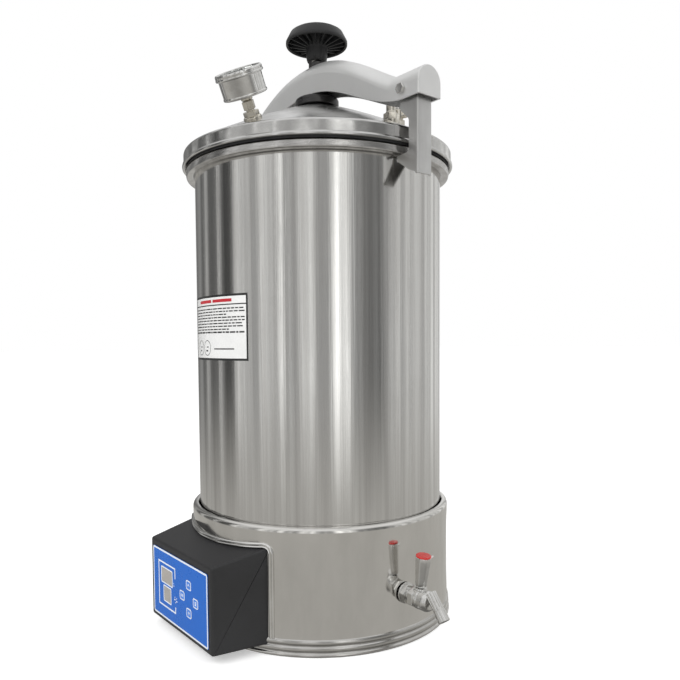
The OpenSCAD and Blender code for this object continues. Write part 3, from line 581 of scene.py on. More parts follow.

# ---- Keys ----
# Four domed keys under the membrane, in a cross. Each is a thin blue cap with
# a pale printed outline and a small arrow or bars.
key_film = finish("key_film", (0.022, 0.17, 0.64), (0.026, 0.2, 0.7), (0.24, 0.36),
                  lines=(900, 900, 900), cloud=30, bump=0.05, Coat_Weight=0.3, Coat_Roughness=0.15)
ICONS = {
    "key_up": [[(-1.6, -0.8), (0, 1.3), (1.6, -0.8)]],
    "key_down": [[(-1.6, 0.8), (0, -1.3), (1.6, 0.8)], [(0, 1.9), (0, -1.0)]],
    "key_left": [[(-1.7, -1.5), (-1.7, 1.5)], [(0.2, -1.5), (0.2, 1.5)], [(1.9, -1.5), (1.9, 1.5)]],
    "key_right": [[(-1.7, 1.4), (1.7, 1.4)], [(-1.7, -0.1), (1.7, -0.1)], [(-1.7, -1.6), (1.7, -1.6)]],
}
for name, icon in ICONS.items():
    low, high = size(name)
    centre = np.array([(low[0] + high[0]) / 2, (low[2] + high[2]) / 2])
    wide, tall = (high - low)[[0, 2]] - 2.4
    cap = slab(name + "_cap", block(wide, tall, 2.2, centre),
               [(-high[1], 0.4), (-low[1] - 0.35, 0), (-low[1] - 0.12, 0.25), (-low[1] - 0.05, 0.9)])
    fit(put(cap, FACING), key_film, name, "panel_film", name)
    outline = block(wide - 1.1, tall - 1.1, 2.0, centre)
    lines = [traced(outline, 1.1, -low[1] - 0.3, -low[1], True)]
    lines += [traced(np.array(stroke) + centre, 1.0, -low[1] - 0.3, -low[1]) for stroke in icon]
    fit(put(printed(name + "_print", lines), FACING), ink, name, "panel_film")

# ---- Electrics inside the box and the drum ----
# A circuit board on four pillars, a relay, and a mains transformer bolted to
# the floor. They are bought in, so they keep their makers' usual finishes.
green_mask = finish("green_mask", (0.012, 0.13, 0.05), (0.02, 0.18, 0.075), (0.25, 0.4),
                    lines=(700, 700, 700), cloud=120, bump=0.08, Coat_Weight=0.4)
relay_blue = finish("relay_moulding", (0.02, 0.05, 0.13), (0.03, 0.065, 0.16), (0.3, 0.42),
                    lines=(500, 500, 500), cloud=60, bump=0.05)
varnished = finish("varnished_core", (0.22, 0.12, 0.035), (0.1, 0.06, 0.03), (0.25, 0.5),
                   lines=(30, 30, 900), cloud=40, bump=0.4, Metallic=0.3)
coat(green_mask, "control_board")
coat(relay_blue, "relay")
coat(varnished, "transformer")

# ---- Zinc-plated fasteners ----
# Box screws, heater nuts, the thrust ring and the nut of the handwheel. They
# are turned or pressed from mild steel and plated.
zinc = finish("zinc_plate", (0.56, 0.57, 0.57), (0.42, 0.43, 0.44), (0.2, 0.38),
              lines=(160, 160, 160), cloud=70, bump=0.08, Metallic=1.0)
coat(zinc, "box_screws", "heater_nuts", "thrust_ring", "wheel_nut")

# ---- Barrel ----
# The pressure vessel: thick stainless sheet, rolled, seam-welded at the back
# and polished up and down, with a dished bottom welded in.
barrel_high = size("chamber")[1]
wall = 1.5
# Its lighter and darker vertical colour streaks are partly the polishing lines and partly painted reflection
# bands.
steel_barrel = finish("barrel_steel", (0.8, 0.795, 0.78), (0.6, 0.59, 0.575), (0.07, 0.17),
                      lines=(95, 95, 1.4), cloud=5, sheer=0.75, bump=0.16, Metallic=1.0)
dish = np.linspace(0, np.pi / 2, 16)
dish_z, dish_depth = 112.0, 22.0
barrel_rise = np.linspace(dish_z, barrel_high[2], 24)[1:]
barrel_outline = np.vstack([
    np.column_stack([barrel_r * np.sin(dish), dish_z - dish_depth * np.cos(dish)]),
    np.column_stack([np.full(23, barrel_r), barrel_rise]),
    np.column_stack([np.full(23, barrel_r - wall), barrel_rise[::-1]]),
    np.column_stack([(barrel_r - wall) * np.sin(dish[::-1]),
                     dish_z - (dish_depth - wall) * np.cos(dish[::-1])])])


def seam(angle, radius, height):
    """A flat weld bead up the back, 6 mm wide and 0.25 mm proud, and the drawn wall's slow waves."""
    from_back = np.abs((angle - np.pi / 2 + np.pi) % (2 * np.pi) - np.pi) * barrel_r
    return 0.25 * np.exp(-(from_back / 2.6) ** 4) + 0.03 * np.sin(9 * angle + 0.6) - 0.03


fit(turned("barrel", barrel_outline, 288, seam), steel_barrel, "base", "polished_steel", "chamber")

# ---- Barrel flange ----
# A rolled rim welded round the mouth, ground on top for the seal. The outside
# was linished.
flange_r, flange_top = size("chamber_flange")[1][[0, 2]]
flange_low = size("chamber_flange")[0][2]
steel_linished = finish("linished_steel", (0.72, 0.71, 0.7), (0.5, 0.49, 0.48), (0.12, 0.3),
                        lines=(70, 70, 420), cloud=16, sheer=0.5, bump=0.16, Metallic=1.0)
flange_outline = rounded([(barrel_r - 0.4, flange_low + 1.5), (barrel_r + 2.5, flange_low),
                          (flange_r - 0.6, flange_low), (flange_r, flange_low + 2.4),
                          (flange_r, flange_top - 1.6), (flange_r - 1.2, flange_top),
                          (barrel_r - 0.4, flange_top)], 0.9)
fit(turned("barrel_flange", flange_outline, 192), steel_linished, "base", "satin_steel", "chamber_flange")

# ---- Label ----
# A white film label wrapped on the barrel over the control box, with a black
# border and heading rule. Its words are plain bars, and its pictures rings.
label_low, label_high = size("label_plate")
label_foot, label_head = label_low[2], label_high[2]
label_from, label_to = np.radians([-111.0, -67.0])
label_white = finish("label_white", (0.8, 0.8, 0.79), (0.72, 0.72, 0.71), (0.25, 0.36),
                     lines=(400, 400, 400), cloud=30, bump=0.02, Coat_Weight=0.5, Coat_Roughness=0.1)
label_black = finish("label_black", (0.012, 0.012, 0.012), (0.03, 0.03, 0.03), (0.25, 0.4),
                     lines=(400, 400, 400), cloud=60, bump=0.02)
label_red = finish("label_red", (0.5, 0.02, 0.03), (0.42, 0.02, 0.03), (0.3, 0.4),
                   lines=(400, 400, 400), cloud=60, bump=0.02)


def wrapped(points, radius, middle):
    """Flat points (across, up, out) bent round an upright cylinder, centred on a bearing."""
    angle = middle + points[:, 0] / radius
    reach = radius + points[:, 2]
    return np.column_stack([reach * np.cos(angle), reach * np.sin(angle), points[:, 1]])


def bent(name, mark_list, sharp=32):
    """Printed marks of the label, as one mesh, bent round the barrel."""
    made = printed(name, mark_list, sharp)
    flat = np.empty(len(made.data.vertices) * 3)
    made.data.vertices.foreach_get("co", flat)
    curved = wrapped(flat.reshape(-1, 3) * 1000, barrel_r, (label_from + label_to) / 2) / 1000
    made.data.vertices.foreach_set("co", curved.ravel())
    return made


def bar(x, y, width, height):
    """A horizontal printed bar from x, divided along its length so that it can bend."""
    steps = max(2, int(width / 3) + 1)
    path = np.column_stack([np.linspace(x, x + width, steps), np.full(steps, y)])
    return traced(path, height, 0.36, 0.44)


label_w = (label_to - label_from) * barrel_r
label_grid_x = np.linspace(-label_w / 2, label_w / 2, 40)
sheet_path = np.column_stack([label_grid_x, np.full(40, (label_foot + label_head) / 2)])
fit(bent("label", [traced(sheet_path, label_head - label_foot, 0.05, 0.4)]), label_white, "base",
    "label_film", "label_plate")
ring_angle = np.linspace(0, 2 * np.pi, 32, endpoint=False)
half_w, foot, head = label_w / 2 - 1.2, label_foot + 1.1, label_head - 1.1
edge_x, edge_z = np.linspace(-half_w, half_w, 36), np.linspace(foot, head, 6)[1:-1]
frame_path = np.vstack([np.column_stack([edge_x, np.full(36, foot)]),
                        np.column_stack([np.full(4, half_w), edge_z]),
                        np.column_stack([edge_x[::-1], np.full(36, head)]),
                        np.column_stack([np.full(4, -half_w), edge_z[::-1]])])
black_marks = [traced(frame_path, 2.3, 0.36, 0.44, True), bar(-half_w, head - 9.5, 2 * half_w, 1.2)]
word_lengths = np.random.default_rng(7)
for row in range(9):
    start, stop = -half_w + 3, half_w - 3 - (22 if row in (2, 7) else 0)
    while start < stop - 3:
        word = min(word_lengths.uniform(3, 9), stop - start)
        black_marks.append(bar(start, head - 13.5 - row * 3.1, word, 1.3 if row < 8 else 1.7))
        start += word + 1.2
for across in (-33, -14):
    circle = np.column_stack([across + 8.2 * np.cos(ring_angle), foot + 12 + 8 * np.sin(ring_angle)])
    black_marks.append(traced(circle, 0.7, 0.36, 0.44, True))
    black_marks += [bar(across - 3, foot + 9, 5, 1.6), bar(across - 1, foot + 13, 4, 1.2)]
black_marks.append(bar(2, foot + 11, 34, 1.3))
fit(bent("label_print", black_marks), label_black, "base", "label_film")
heading_bars = [bar(-34, head - 5.2, 31, 3.3), bar(0, head - 5.2, 33, 3.3)]
fit(bent("label_heading", heading_bars), label_red, "base", "label_film")

# ---- Heater, probe, stand and drain pipe ----
# The ring heater lies over the dished floor, with its legs nutted through it.
# A perforated stand keeps the basket above the water, and a brass pipe drains it.
heat_tinted = finish("heat_tinted_sheath", (0.3, 0.28, 0.27), (0.2, 0.15, 0.13), (0.3, 0.5),
                     lines=(90, 90, 90), cloud=24, bump=0.15, Metallic=1.0)
brass_plain = finish("plain_brass", (0.62, 0.46, 0.22), (0.42, 0.29, 0.13), (0.22, 0.4),
                     lines=(120, 120, 120), cloud=40, bump=0.08, Metallic=1.0)
steel_satin = finish("satin_steel", (0.62, 0.61, 0.6), (0.48, 0.47, 0.46), (0.22, 0.36),
                     lines=(60, 60, 500), cloud=18, bump=0.1, Metallic=1.0)
coat(heat_tinted, "heater_element")
coat(brass_plain, "drain_pipe")
coat(steel_satin, "basket_stand", "temperature_probe")

# ---- Basket ----
# A deep stainless basket with punched holes, a rolled rim and a wire bail that
# swings on two riveted pivots.
coat(steel_satin, "basket", "basket_pivots", "basket_handle")

# ---- Drain tap ----
# A plated brass tap screwed through the drum with a nut and washer. Its tall
# faceted handle turns a quarter turn, and a fluted spout is pressed in below.
plated = finish("bright_plating", (0.8, 0.8, 0.79), (0.66, 0.65, 0.63), (0.05, 0.16),
                lines=(110, 110, 110), cloud=60, bump=0.06, Metallic=1.0)
tap_y, tap_z = -5.0, 54.5
TAP = Matrix.Translation((0, tap_y / 1000, tap_z / 1000)) @ Matrix.Rotation(np.pi / 2, 4, "Y")
tap_pivot = Vector((0.1725, tap_y / 1000, tap_z / 1000))
tap_lean = np.radians(7)
HANDLE = Matrix.Translation(tap_pivot) @ Matrix.Rotation(tap_lean, 4, "Y")


def hexagon(across, turned_by=0.0):
    """Outline of a hexagon of that width across its flats."""
    angle = np.radians(60) * np.arange(6) + turned_by
    return rounded(np.column_stack([np.cos(angle), np.sin(angle)]) * across / np.sqrt(3), 0.6, 3)


def nut(name, across, low, high, matrix, turned_by=0.0):
    """A hexagon nut between two heights, with its corners chamfered at both ends."""
    return put(slab(name, hexagon(across, turned_by), eased(low, high, 0.7, 3)), matrix)


def thread(pitch, depth):
    """A screw thread as a swell: the radius dips once a pitch, and the dip climbs one pitch a turn."""
    def swell(angle, radius, height):
        phase = (height / pitch - angle / (2 * np.pi)) % 1
        return -depth * np.abs(2 * phase - 1)
    return swell


stem_rise = np.linspace(138.5, 164.5, 66)
stem_outline = np.vstack([(0, 138), np.column_stack([np.full(66, 6.5), stem_rise]), (0, 165)])
fit(put(turned("tap_stem", stem_outline, 32, thread(1.8, 0.7), 60), TAP), plated,
    "base", "chrome", "tap_body")
drum_outline = rounded([(0, 170), (9.2, 170), (10.5, 172), (10.5, 175.4), (9.8, 176), (9.8, 177.4),
                        (10.5, 178), (10.5, 184.4), (8.6, 188), (0, 188)],
                       [0, 0.8, 0.8, 0.3, 0.3, 0.3, 0.3, 1.6, 2, 0])
fit(put(turned("tap_drum", drum_outline, 64), TAP), plated, "base", "chrome")
fit(nut("tap_shoulder", 20, 164, 171, TAP), plated, "base", "chrome")
bonnet_outline = [(0, 0), (7, 0), (7, 8.6), (6.2, 9.2), (6.2, 10.2), (6.9, 10.8), (6.6, 12), (0, 12)]
fit(put(turned("tap_bonnet", bonnet_outline, 48), HANDLE), plated, "base", "chrome")
fit(nut("tap_lock_nut", 19, 153.8, 159.3, TAP, 0.3), plated, "base", "chrome", "tap_nut")
washer_outline = rounded([(6.4, 152.3), (11, 152.3), (11, 153.8), (6.4, 153.8)], 0.4, 3)
fit(put(turned("tap_washer", washer_outline, 48), TAP), plated, "base", "chrome")
fit(nut("tap_inner_nut", 19, 143, 148, TAP), plated, "base", "chrome")
handle_rise = np.array([12.0, 12.4, 13.2, 15.0, 17.5, 22, 28, 34, 40.5, 43.4, 44.3, 44.6])
handle_share = np.array([0.5, 0.62, 0.76, 0.86, 0.9, 0.95, 1.02, 1.09, 1.16, 1.17, 1.13, 1.04])
eight = np.radians(45) * np.arange(8) + np.radians(22.5)
eight_sides = rounded(np.column_stack([7.3 * np.cos(eight), 7.1 * np.sin(eight)]), 1.1, 3)
handle_grid = np.concatenate([eight_sides[None] * handle_share[:, None, None],
                              np.repeat(handle_rise[:, None, None], len(eight_sides), 1)], -1)
handle_ends = np.zeros((1, len(eight_sides), 3))
handle_grid = np.concatenate([handle_ends + (0, 0, 12.0), handle_grid, handle_ends + (0, 0, 44.6)])
fit(put(skin("tap_lever_handle", handle_grid, sharp=24), HANDLE), plated,
    "tap_lever", "chrome", "tap_handle")
wing_along = np.linspace(0, 1, 12)
wing_turn = np.linspace(0, 2 * np.pi, 16, endpoint=False)
wing_size = (1 - 0.6 * wing_along) * np.sqrt(np.clip(1 - wing_along ** 8, 0, 1))
wing_grid = np.stack([np.outer(wing_size, 3.4 * np.cos(wing_turn)),
                      np.repeat(4 + 10.9 * wing_along[:, None], 16, 1),
                      41.2 + 1.3 * wing_along[:, None] ** 2
                      + np.outer(wing_size, 1.5 * np.sin(wing_turn))], -1)
fit(put(skin("tap_wing", wing_grid), HANDLE), plated, "tap_lever", "chrome")
red = finish("red_plastic", (0.62, 0.02, 0.015), (0.5, 0.018, 0.014), (0.25, 0.4),
             lines=(200, 200, 200), cloud=80, bump=0.05, Coat_Weight=0.4)
disc_outline = rounded([(0, 44.5), (7.8, 44.5), (7.8, 46.0), (0, 46.4)], [0, 0.3, 0.8, 0])
fit(put(turned("tap_disc", disc_outline, 48), HANDLE), red, "tap_lever", "red_plastic", "tap_cap")
SPOUT = Matrix.Translation((0.2062, tap_y / 1000, 0.0408)) @ Matrix.Rotation(np.radians(141.5), 4, "Y")


def flutes(angle, radius, height):
    """Nine shallow lengthwise grooves on the spout's outside, ending where its plain mouth begins."""
    outside = (radius > 5) * np.clip((-12.5 - height) / 1.5, 0, 1)
    return -0.6 * outside * np.clip(np.cos(9 * angle), 0, 1) ** 3


spout_rise = np.linspace(-29.6, -12.3, 16)
spout_outline = np.vstack([(0, -30), (5.3, -30), np.column_stack([np.full(16, 5.6), spout_rise]),
                           (6.0, -11.9), (6.0, -0.5), (5.6, 0), (4.7, 0),
                           (4.4, -0.4), (4.4, -26.6), (0, -27)])
fit(put(turned("tap_spout_tube", spout_outline, 108, flutes), SPOUT), plated, "base", "chrome", "tap_spout")

# ---- Cable gland and earth terminal ----
# At the back of the drum: a nylon gland for the mains lead, with a ribbed
# dome nut, and a threaded earth stud with two nuts.
BACK = Matrix.Translation((0, 0, 0.055)) @ Matrix.Rotation(-np.pi / 2, 4, "X")


def knurl(angle, radius, height):
    """Sixteen shallow grip flutes on the outside of the dome nut."""
    return -0.5 * (radius > 8.5) * np.clip(np.cos(16 * angle), 0, 1)


gland_outline = rounded([(4.1, 141), (8, 141), (8, 157.4), (10, 158), (10, 163), (8.2, 167), (4.1, 167)],
                        [0, 0.4, 0.2, 0.5, 2, 1.5, 0.5])
fit(put(turned("gland_body", gland_outline, 96, knurl), BACK), rubber, "base", "black_rubber", "cable_gland")
fit(nut("gland_lock_nut", 22, 143, 148, BACK), rubber, "base", "black_rubber")
fit(nut("gland_hexagon", 22, 152, 158, BACK, 0.2), rubber, "base", "black_rubber")
EARTH = (Matrix.Rotation(np.radians(23.4), 4, "Z") @ Matrix.Translation((0, 0, 0.03))
         @ Matrix.Rotation(-np.pi / 2, 4, "X"))
stud_outline = np.vstack([(0, 141.4), np.column_stack([np.full(66, 2.5), np.linspace(141.6, 162.8, 66)]),
                          (1.8, 163.4), (0, 163.4)])
fit(put(turned("earth_stud", stud_outline, 24, thread(0.8, 0.35), 60), EARTH), zinc, "base", "zinc",
    "earth_terminal")
fit(nut("earth_nut", 9, 151.5, 155.4, EARTH), zinc, "base", "zinc")
fit(nut("earth_inner_nut", 9, 145.8, 149.8, EARTH), zinc, "base", "zinc")

# ---- Lid ----
# Pressed from one stainless disc: a dome with a flat crown, a straight skirt
# and a rolled bead at its lower edge.
lid_low = size("lid")[0]
lid_r, skirt_z, dome_z, dome_h, dome_r, crown_r = 155.5, lid_low[2], 530.0, 64.0, 152.0, 30.0


def dome_height(radius):
    """Height of the dome's outside: it falls from the axis with the 1.2 power of the distance."""
    return dome_z + dome_h * (1 - (np.asarray(radius) / dome_r) ** 1.2)


steel_lid = finish("lid_steel", (0.76, 0.755, 0.745), (0.58, 0.575, 0.565), (0.1, 0.24),
                   lines=(34, 34, 60), cloud=11, sheer=0.5, bump=0.12, Metallic=1.0)
dome_run = np.linspace(crown_r, dome_r - 1, 34)
inner_run = np.linspace(137, crown_r, 24)
shoulder = np.radians(np.linspace(56, 0, 7))
crown_z = dome_height(crown_r)
lid_outline = np.vstack([
    [(0, crown_z), (crown_r - 3, crown_z), (crown_r - 0.8, crown_z - 0.05)],
    np.column_stack([dome_run, dome_height(dome_run)]),
    np.column_stack([lid_r - 3.5 + 3.5 * np.cos(shoulder), dome_z - 3.4 + 3.5 * np.sin(shoulder)]),
    [(lid_r, 522), (lid_r, skirt_z + 4.6), (lid_r + 0.5, skirt_z + 3.9), (lid_r + 1.2, skirt_z + 3.2),
     (lid_r + 1.5, skirt_z + 2.2), (lid_r + 1.4, skirt_z + 0.9), (lid_r + 0.8, skirt_z + 0.1),
     (lid_r - 0.6, skirt_z), (lid_r - 1.5, skirt_z + 0.4), (lid_r - 1.5, 518.8), (137, 518.8)],
    np.column_stack([inner_run, dome_height(inner_run) - 1.8]),
    [(0, crown_z - 1.8)]])


def skirt_waves(angle, radius, height):
    """Two fine waves round the skirt, up to 0.2 mm deep, where the press left it uneven."""
    skirt = (radius > 154) * (height < 528) * (height > skirt_z + 5)
    return 0.06 * skirt * (np.sin(40 * angle) + 0.7 * np.sin(60 * angle + 1) - 1.7)


fit(turned("lid_shell", lid_outline, 480, skirt_waves), steel_lid, "lid", "polished_steel", "lid")
# The lid seal takes the black rubber, whose dark colour is painted shade for the thin gap between the
# barrel's flange and the lid's skirt.
coat(rubber, "lid_seal")
dark_iron = finish("blackened_steel", (0.05, 0.05, 0.053), (0.09, 0.088, 0.086), (0.22, 0.42),
                   lines=(90, 90, 240), cloud=30, bump=0.12, Metallic=0.85)
boss_outline = rounded([(0, crown_z - 0.1), (20, crown_z - 0.1), (20, crown_z + 4.6), (18.6, crown_z + 5.9),
                        (11, crown_z + 5.9), (11, crown_z + 1.5), (0, crown_z + 1.5)],
                       [0, 0.5, 0.8, 0.8, 0.4, 0.4, 0])
fit(turned("screw_cup", boss_outline, 96), dark_iron, "lid", "dark_steel", "lid_boss")

# ---- Pressure gauge ----
# A 50 mm gauge with a steel case and a crimped bezel. It leans outwards on two
# nickel-plated hexagon fittings, and its dial is numbered from 0 to 4.
nickel = finish("nickel_plate", (0.8, 0.77, 0.7), (0.66, 0.62, 0.54), (0.12, 0.3),
                lines=(140, 140, 140), cloud=60, bump=0.07, Metallic=1.0)
GAUGE = (Matrix.Rotation(np.radians(22 - 90), 4, "Z")
         @ Matrix.Translation((0.127, 0, dome_height(127) / 1000))
         @ Matrix.Rotation(np.radians(31), 4, "Y"))
collar = rounded([(0, -1.6), (9.5, -1.6), (9.5, 2.2), (8.2, 3.4), (0, 3.4)], [0, 0.4, 0.8, 0.8, 0])
fit(put(turned("gauge_collar", collar, 64), GAUGE), nickel, "lid", "nickel_brass", "gauge_socket")
fit(nut("gauge_socket_hexagon", 14.5, 3, 8, GAUGE), nickel, "lid", "nickel_brass")
neck = [(0, 8), (4.2, 8), (4.2, 18.2), (5.2, 18.6), (6, 19.4), (6, 21.4), (5.4, 22.4), (0, 22.4)]
fit(put(turned("gauge_neck", neck, 48), GAUGE), nickel, "lid", "nickel_brass", "gauge_stem")
fit(nut("gauge_neck_hexagon", 11.5, 9.5, 18, GAUGE, 0.4), nickel, "lid", "nickel_brass")
bezel_r = 24.6
case = rounded([(0, 22.4), (21.6, 22.4), (22.9, 23.2), (22.9, 24.8), (22.3, 25.4), (22.3, 41.8),
                (21.2, 41.8), (21.2, 24), (0, 24)], [0, 0.6, 0.5, 0.5, 0.4, 0.1, 0.1, 0.4, 0])
fit(put(turned("gauge_case_cup", case, 128), GAUGE), plated, "lid", "chrome", "gauge_case")


def crimps(angle, radius, height):
    """Twelve pressed notches in the bezel's upper edge, each a narrow bell across and deepest at the top."""
    place = (angle * 12 / (2 * np.pi)) % 1 - 0.5
    return -0.4 * np.exp(-(place / 0.13) ** 2) * np.clip((height - 43.6) / 3, 0, 1) * (radius > 23)


bezel = rounded([(22.95, 41.6), (24.3, 41.6), (bezel_r, 42.2), (bezel_r, 43.4), (24.2, 43.9), (24.2, 46.3),
                 (23.4, 47.8), (22.2, 47.8), (21.6, 47.0), (21.6, 46.2), (22.95, 45.4)], 0.4, 4)
fit(put(turned("gauge_crimped_bezel", bezel, 216, crimps), GAUGE), plated, "lid", "chrome", "gauge_bezel")
dial_white = finish("dial_white", (0.8, 0.8, 0.79), (0.74, 0.74, 0.73), (0.4, 0.5),
                    lines=(300, 300, 300), cloud=30, bump=0.01)
dial = rounded([(0, 40), (21.5, 40), (21.5, 40.8), (0, 40.8)], [0, 0.2, 0.2, 0])
fit(put(turned("gauge_face", dial, 64), GAUGE), dial_white, "lid", "dial_white", "gauge_dial")
dial_ink = finish("dial_ink", (0.012, 0.012, 0.012), (0.02, 0.02, 0.02), (0.4, 0.5),
                  lines=(300, 300, 300), cloud=60, bump=0.01)
dial_start, dial_sweep, dial_steps = np.radians(-45), np.radians(-270), 40
ticks = []
for step in range(dial_steps + 1):
    angle = dial_start + dial_sweep * step / dial_steps
    inner = 15.2 if step % 10 == 0 else 16.4 if step % 5 == 0 else 17.2
    spoke = np.array([np.cos(angle), np.sin(angle)])
    ticks.append(traced([spoke * inner, spoke * 18.6], 0.55 if step % 10 == 0 else 0.28, 40.75, 40.85))
arc = np.linspace(dial_start, dial_start + dial_sweep, 60)
ticks.append(traced(np.column_stack([18.9 * np.cos(arc), 18.9 * np.sin(arc)]), 0.35, 40.75, 40.85))
fit(put(printed("gauge_scale", ticks), GAUGE), dial_ink, "lid", "dial_white")
for number in range(5):
    angle = dial_start + dial_sweep * number / 4
    text = bpy.data.curves.new("number", "FONT")
    text.body, text.size, text.extrude = str(number), 0.0046, 0.00004
    text.align_x = text.align_y = "CENTER"
    drawn = bpy.data.objects.new("number", text)
    scene.collection.objects.link(drawn)
    bpy.context.view_layer.update()
    mesh = bpy.data.meshes.new_from_object(drawn.evaluated_get(bpy.context.evaluated_depsgraph_get()))
    bpy.data.objects.remove(drawn)
    figure = bpy.data.objects.new(f"gauge_number_{number}", mesh)
    scene.collection.objects.link(figure)
    mesh.materials.clear()
    spot = Matrix.Translation((0.0123 * np.cos(angle), 0.0123 * np.sin(angle), 0.04084))
    fit(put(figure, GAUGE @ spot @ Matrix.Rotation(np.pi / 2, 4, "Z")), dial_ink, "lid", "dial_white")
needle = rounded([(-0.9, -6), (0.9, -6), (0.5, 2), (0.15, 15.8), (-0.15, 15.8), (-0.5, 2)], 0.12, 3)
POINTER = GAUGE @ Matrix.Rotation(np.radians(-135), 4, "Z")
fit(put(slab("gauge_needle", needle, [(41.5, 0), (42, 0)]), POINTER), dial_ink, "pointer", "pointer_black",
    "gauge_pointer")
hub = rounded([(0, 41.4), (2.2, 41.4), (2.2, 42.1), (1.2, 42.8), (0, 42.8)], [0, 0.2, 0.3, 0.3, 0])
fit(put(turned("gauge_needle_hub", hub, 32), GAUGE), dial_ink, "pointer", "pointer_black")
clear = finish("clear_window", (0.95, 0.97, 0.98), (0.93, 0.96, 0.97), (0.02, 0.05),
               lines=(20, 20, 20), cloud=20, bump=0.0, Transmission_Weight=1.0, IOR=1.3)
lens = rounded([(0, 44.2), (22.5, 44.2), (22.5, 45.0), (0, 45.6)], [0, 0.2, 0.3, 0])
fit(put(turned("gauge_lens", lens, 64), GAUGE), clear, "lid", "gauge_glass", "gauge_glass")

# ---- Safety valve and vent valve ----
# Two plated valves behind the arm: a spring safety valve with a pull ring, and
# a vent with a side nozzle and a small flat lever.


def upright(x, y):
    """Where a fitting stands on the dome, with Z up from the sheet."""
    return Matrix.Translation((x / 1000, y / 1000, dome_height(np.hypot(x, y)) / 1000))


SAFETY, VENT = upright(91.5, 33), upright(74, 60)
safety_body = rounded([(2.05, -4), (8.4, -4), (8.4, 2), (6.2, 2.4), (6.2, 10), (5.2, 11), (5.2, 25),
                       (6.4, 26),
                       (6.4, 30.2), (4.4, 31.8), (2.05, 31.8)], 0.5, 4)
fit(put(turned("safety_valve_body", safety_body, 64), SAFETY), nickel, "lid", "nickel_brass", "safety_valve")
fit(nut("safety_valve_hexagon", 15, 2, 9, SAFETY), nickel, "lid", "nickel_brass")
fit(nut("safety_valve_cap", 13.6, 26, 31, SAFETY, 0.25), nickel, "lid", "nickel_brass")
pull = rounded([(0, 4), (2, 4), (2, 35), (3, 35.6), (3, 37.2), (2, 37.9), (0, 37.9)],
               [0, 0, 0.2, 0.4, 0.4, 0.3, 0])
fit(put(turned("safety_pull_stem", pull, 24), SAFETY), plated, "safety_stem", "chrome", "safety_stem")
loop, wire = np.meshgrid(np.linspace(0, 2 * np.pi, 40, endpoint=False),
                         np.linspace(0, 2 * np.pi, 12, endpoint=False), indexing="ij")
loop_grid = np.stack([(6 + 1.1 * np.cos(wire)) * np.cos(loop), 1.1 * np.sin(wire),
                      42 + (6 + 1.1 * np.cos(wire)) * np.sin(loop)], -1)
fit(put(skin("safety_pull_ring", loop_grid, wrap_rows=True), SAFETY), plated, "safety_stem", "chrome")
vent_body = rounded([(2.06, -4), (8.2, -4), (8.2, 2.6), (6.2, 3.2), (6.2, 10.6), (6.5, 11), (6.5, 21),
                     (5.4, 22), (2.06, 22)], 0.5, 4)
fit(put(turned("vent_valve_body", vent_body, 64), VENT), nickel, "lid", "nickel_brass", "exhaust_valve")
fit(nut("vent_valve_hexagon", 15, 3, 10, VENT, 0.5), nickel, "lid", "nickel_brass")
NOZZLE = (VENT @ Matrix.Translation((0, 0, 0.015)) @ Matrix.Rotation(np.radians(20), 4, "Z")
          @ Matrix.Rotation(np.pi / 2, 4, "Y"))
nozzle = rounded([(1.8, 5), (3.0, 5), (3.0, 9), (3.2, 10), (2.8, 12), (3.2, 13), (2.8, 15), (2.9, 16),
                  (1.8, 16)],
                 0.3, 3)
fit(put(turned("vent_nozzle", nozzle, 32), NOZZLE), nickel, "lid", "nickel_brass")
vent_stem = rounded([(0, 17.3), (2, 17.3), (2, 22.4), (5, 22.4), (5, 25), (3.6, 26.2), (0, 26.2)],
                    [0, 0, 0, 0.4, 0.8, 0.6, 0])
fit(put(turned("vent_stem", vent_stem, 32), VENT), plated, "exhaust_lever", "chrome", "exhaust_lever")
LEVER = VENT @ Matrix.Rotation(np.radians(60), 4, "Z")
lever = slab("vent_lever", block(23, 5, 2.2, (12.4, 0)), eased(22.8, 24.8, 0.6, 3))
fit(put(lever, LEVER), plated, "exhaust_lever", "chrome")

# ---- Clamp arm ----
# Pressed from 2 mm steel sheet into an upside-down channel that arches over the
# lid, with closed ends. A short crease shows where the press folded its flank.
arm_half, arm_reach, arm_wall = 15.75, size("clamp_arm")[1][0], 1.8
steel_arm = finish("arm_steel", (0.76, 0.76, 0.755), (0.7, 0.7, 0.695), (0.38, 0.46),
                   lines=(16, 30, 30), cloud=14, sheer=0.3, bump=0.02, Metallic=0.7)


def wave(x, reach):
    """One at the middle, falling along a half cosine to zero at the reach."""
    return 0.5 + 0.5 * np.cos(np.pi * np.minimum(np.abs(x), reach) / reach)


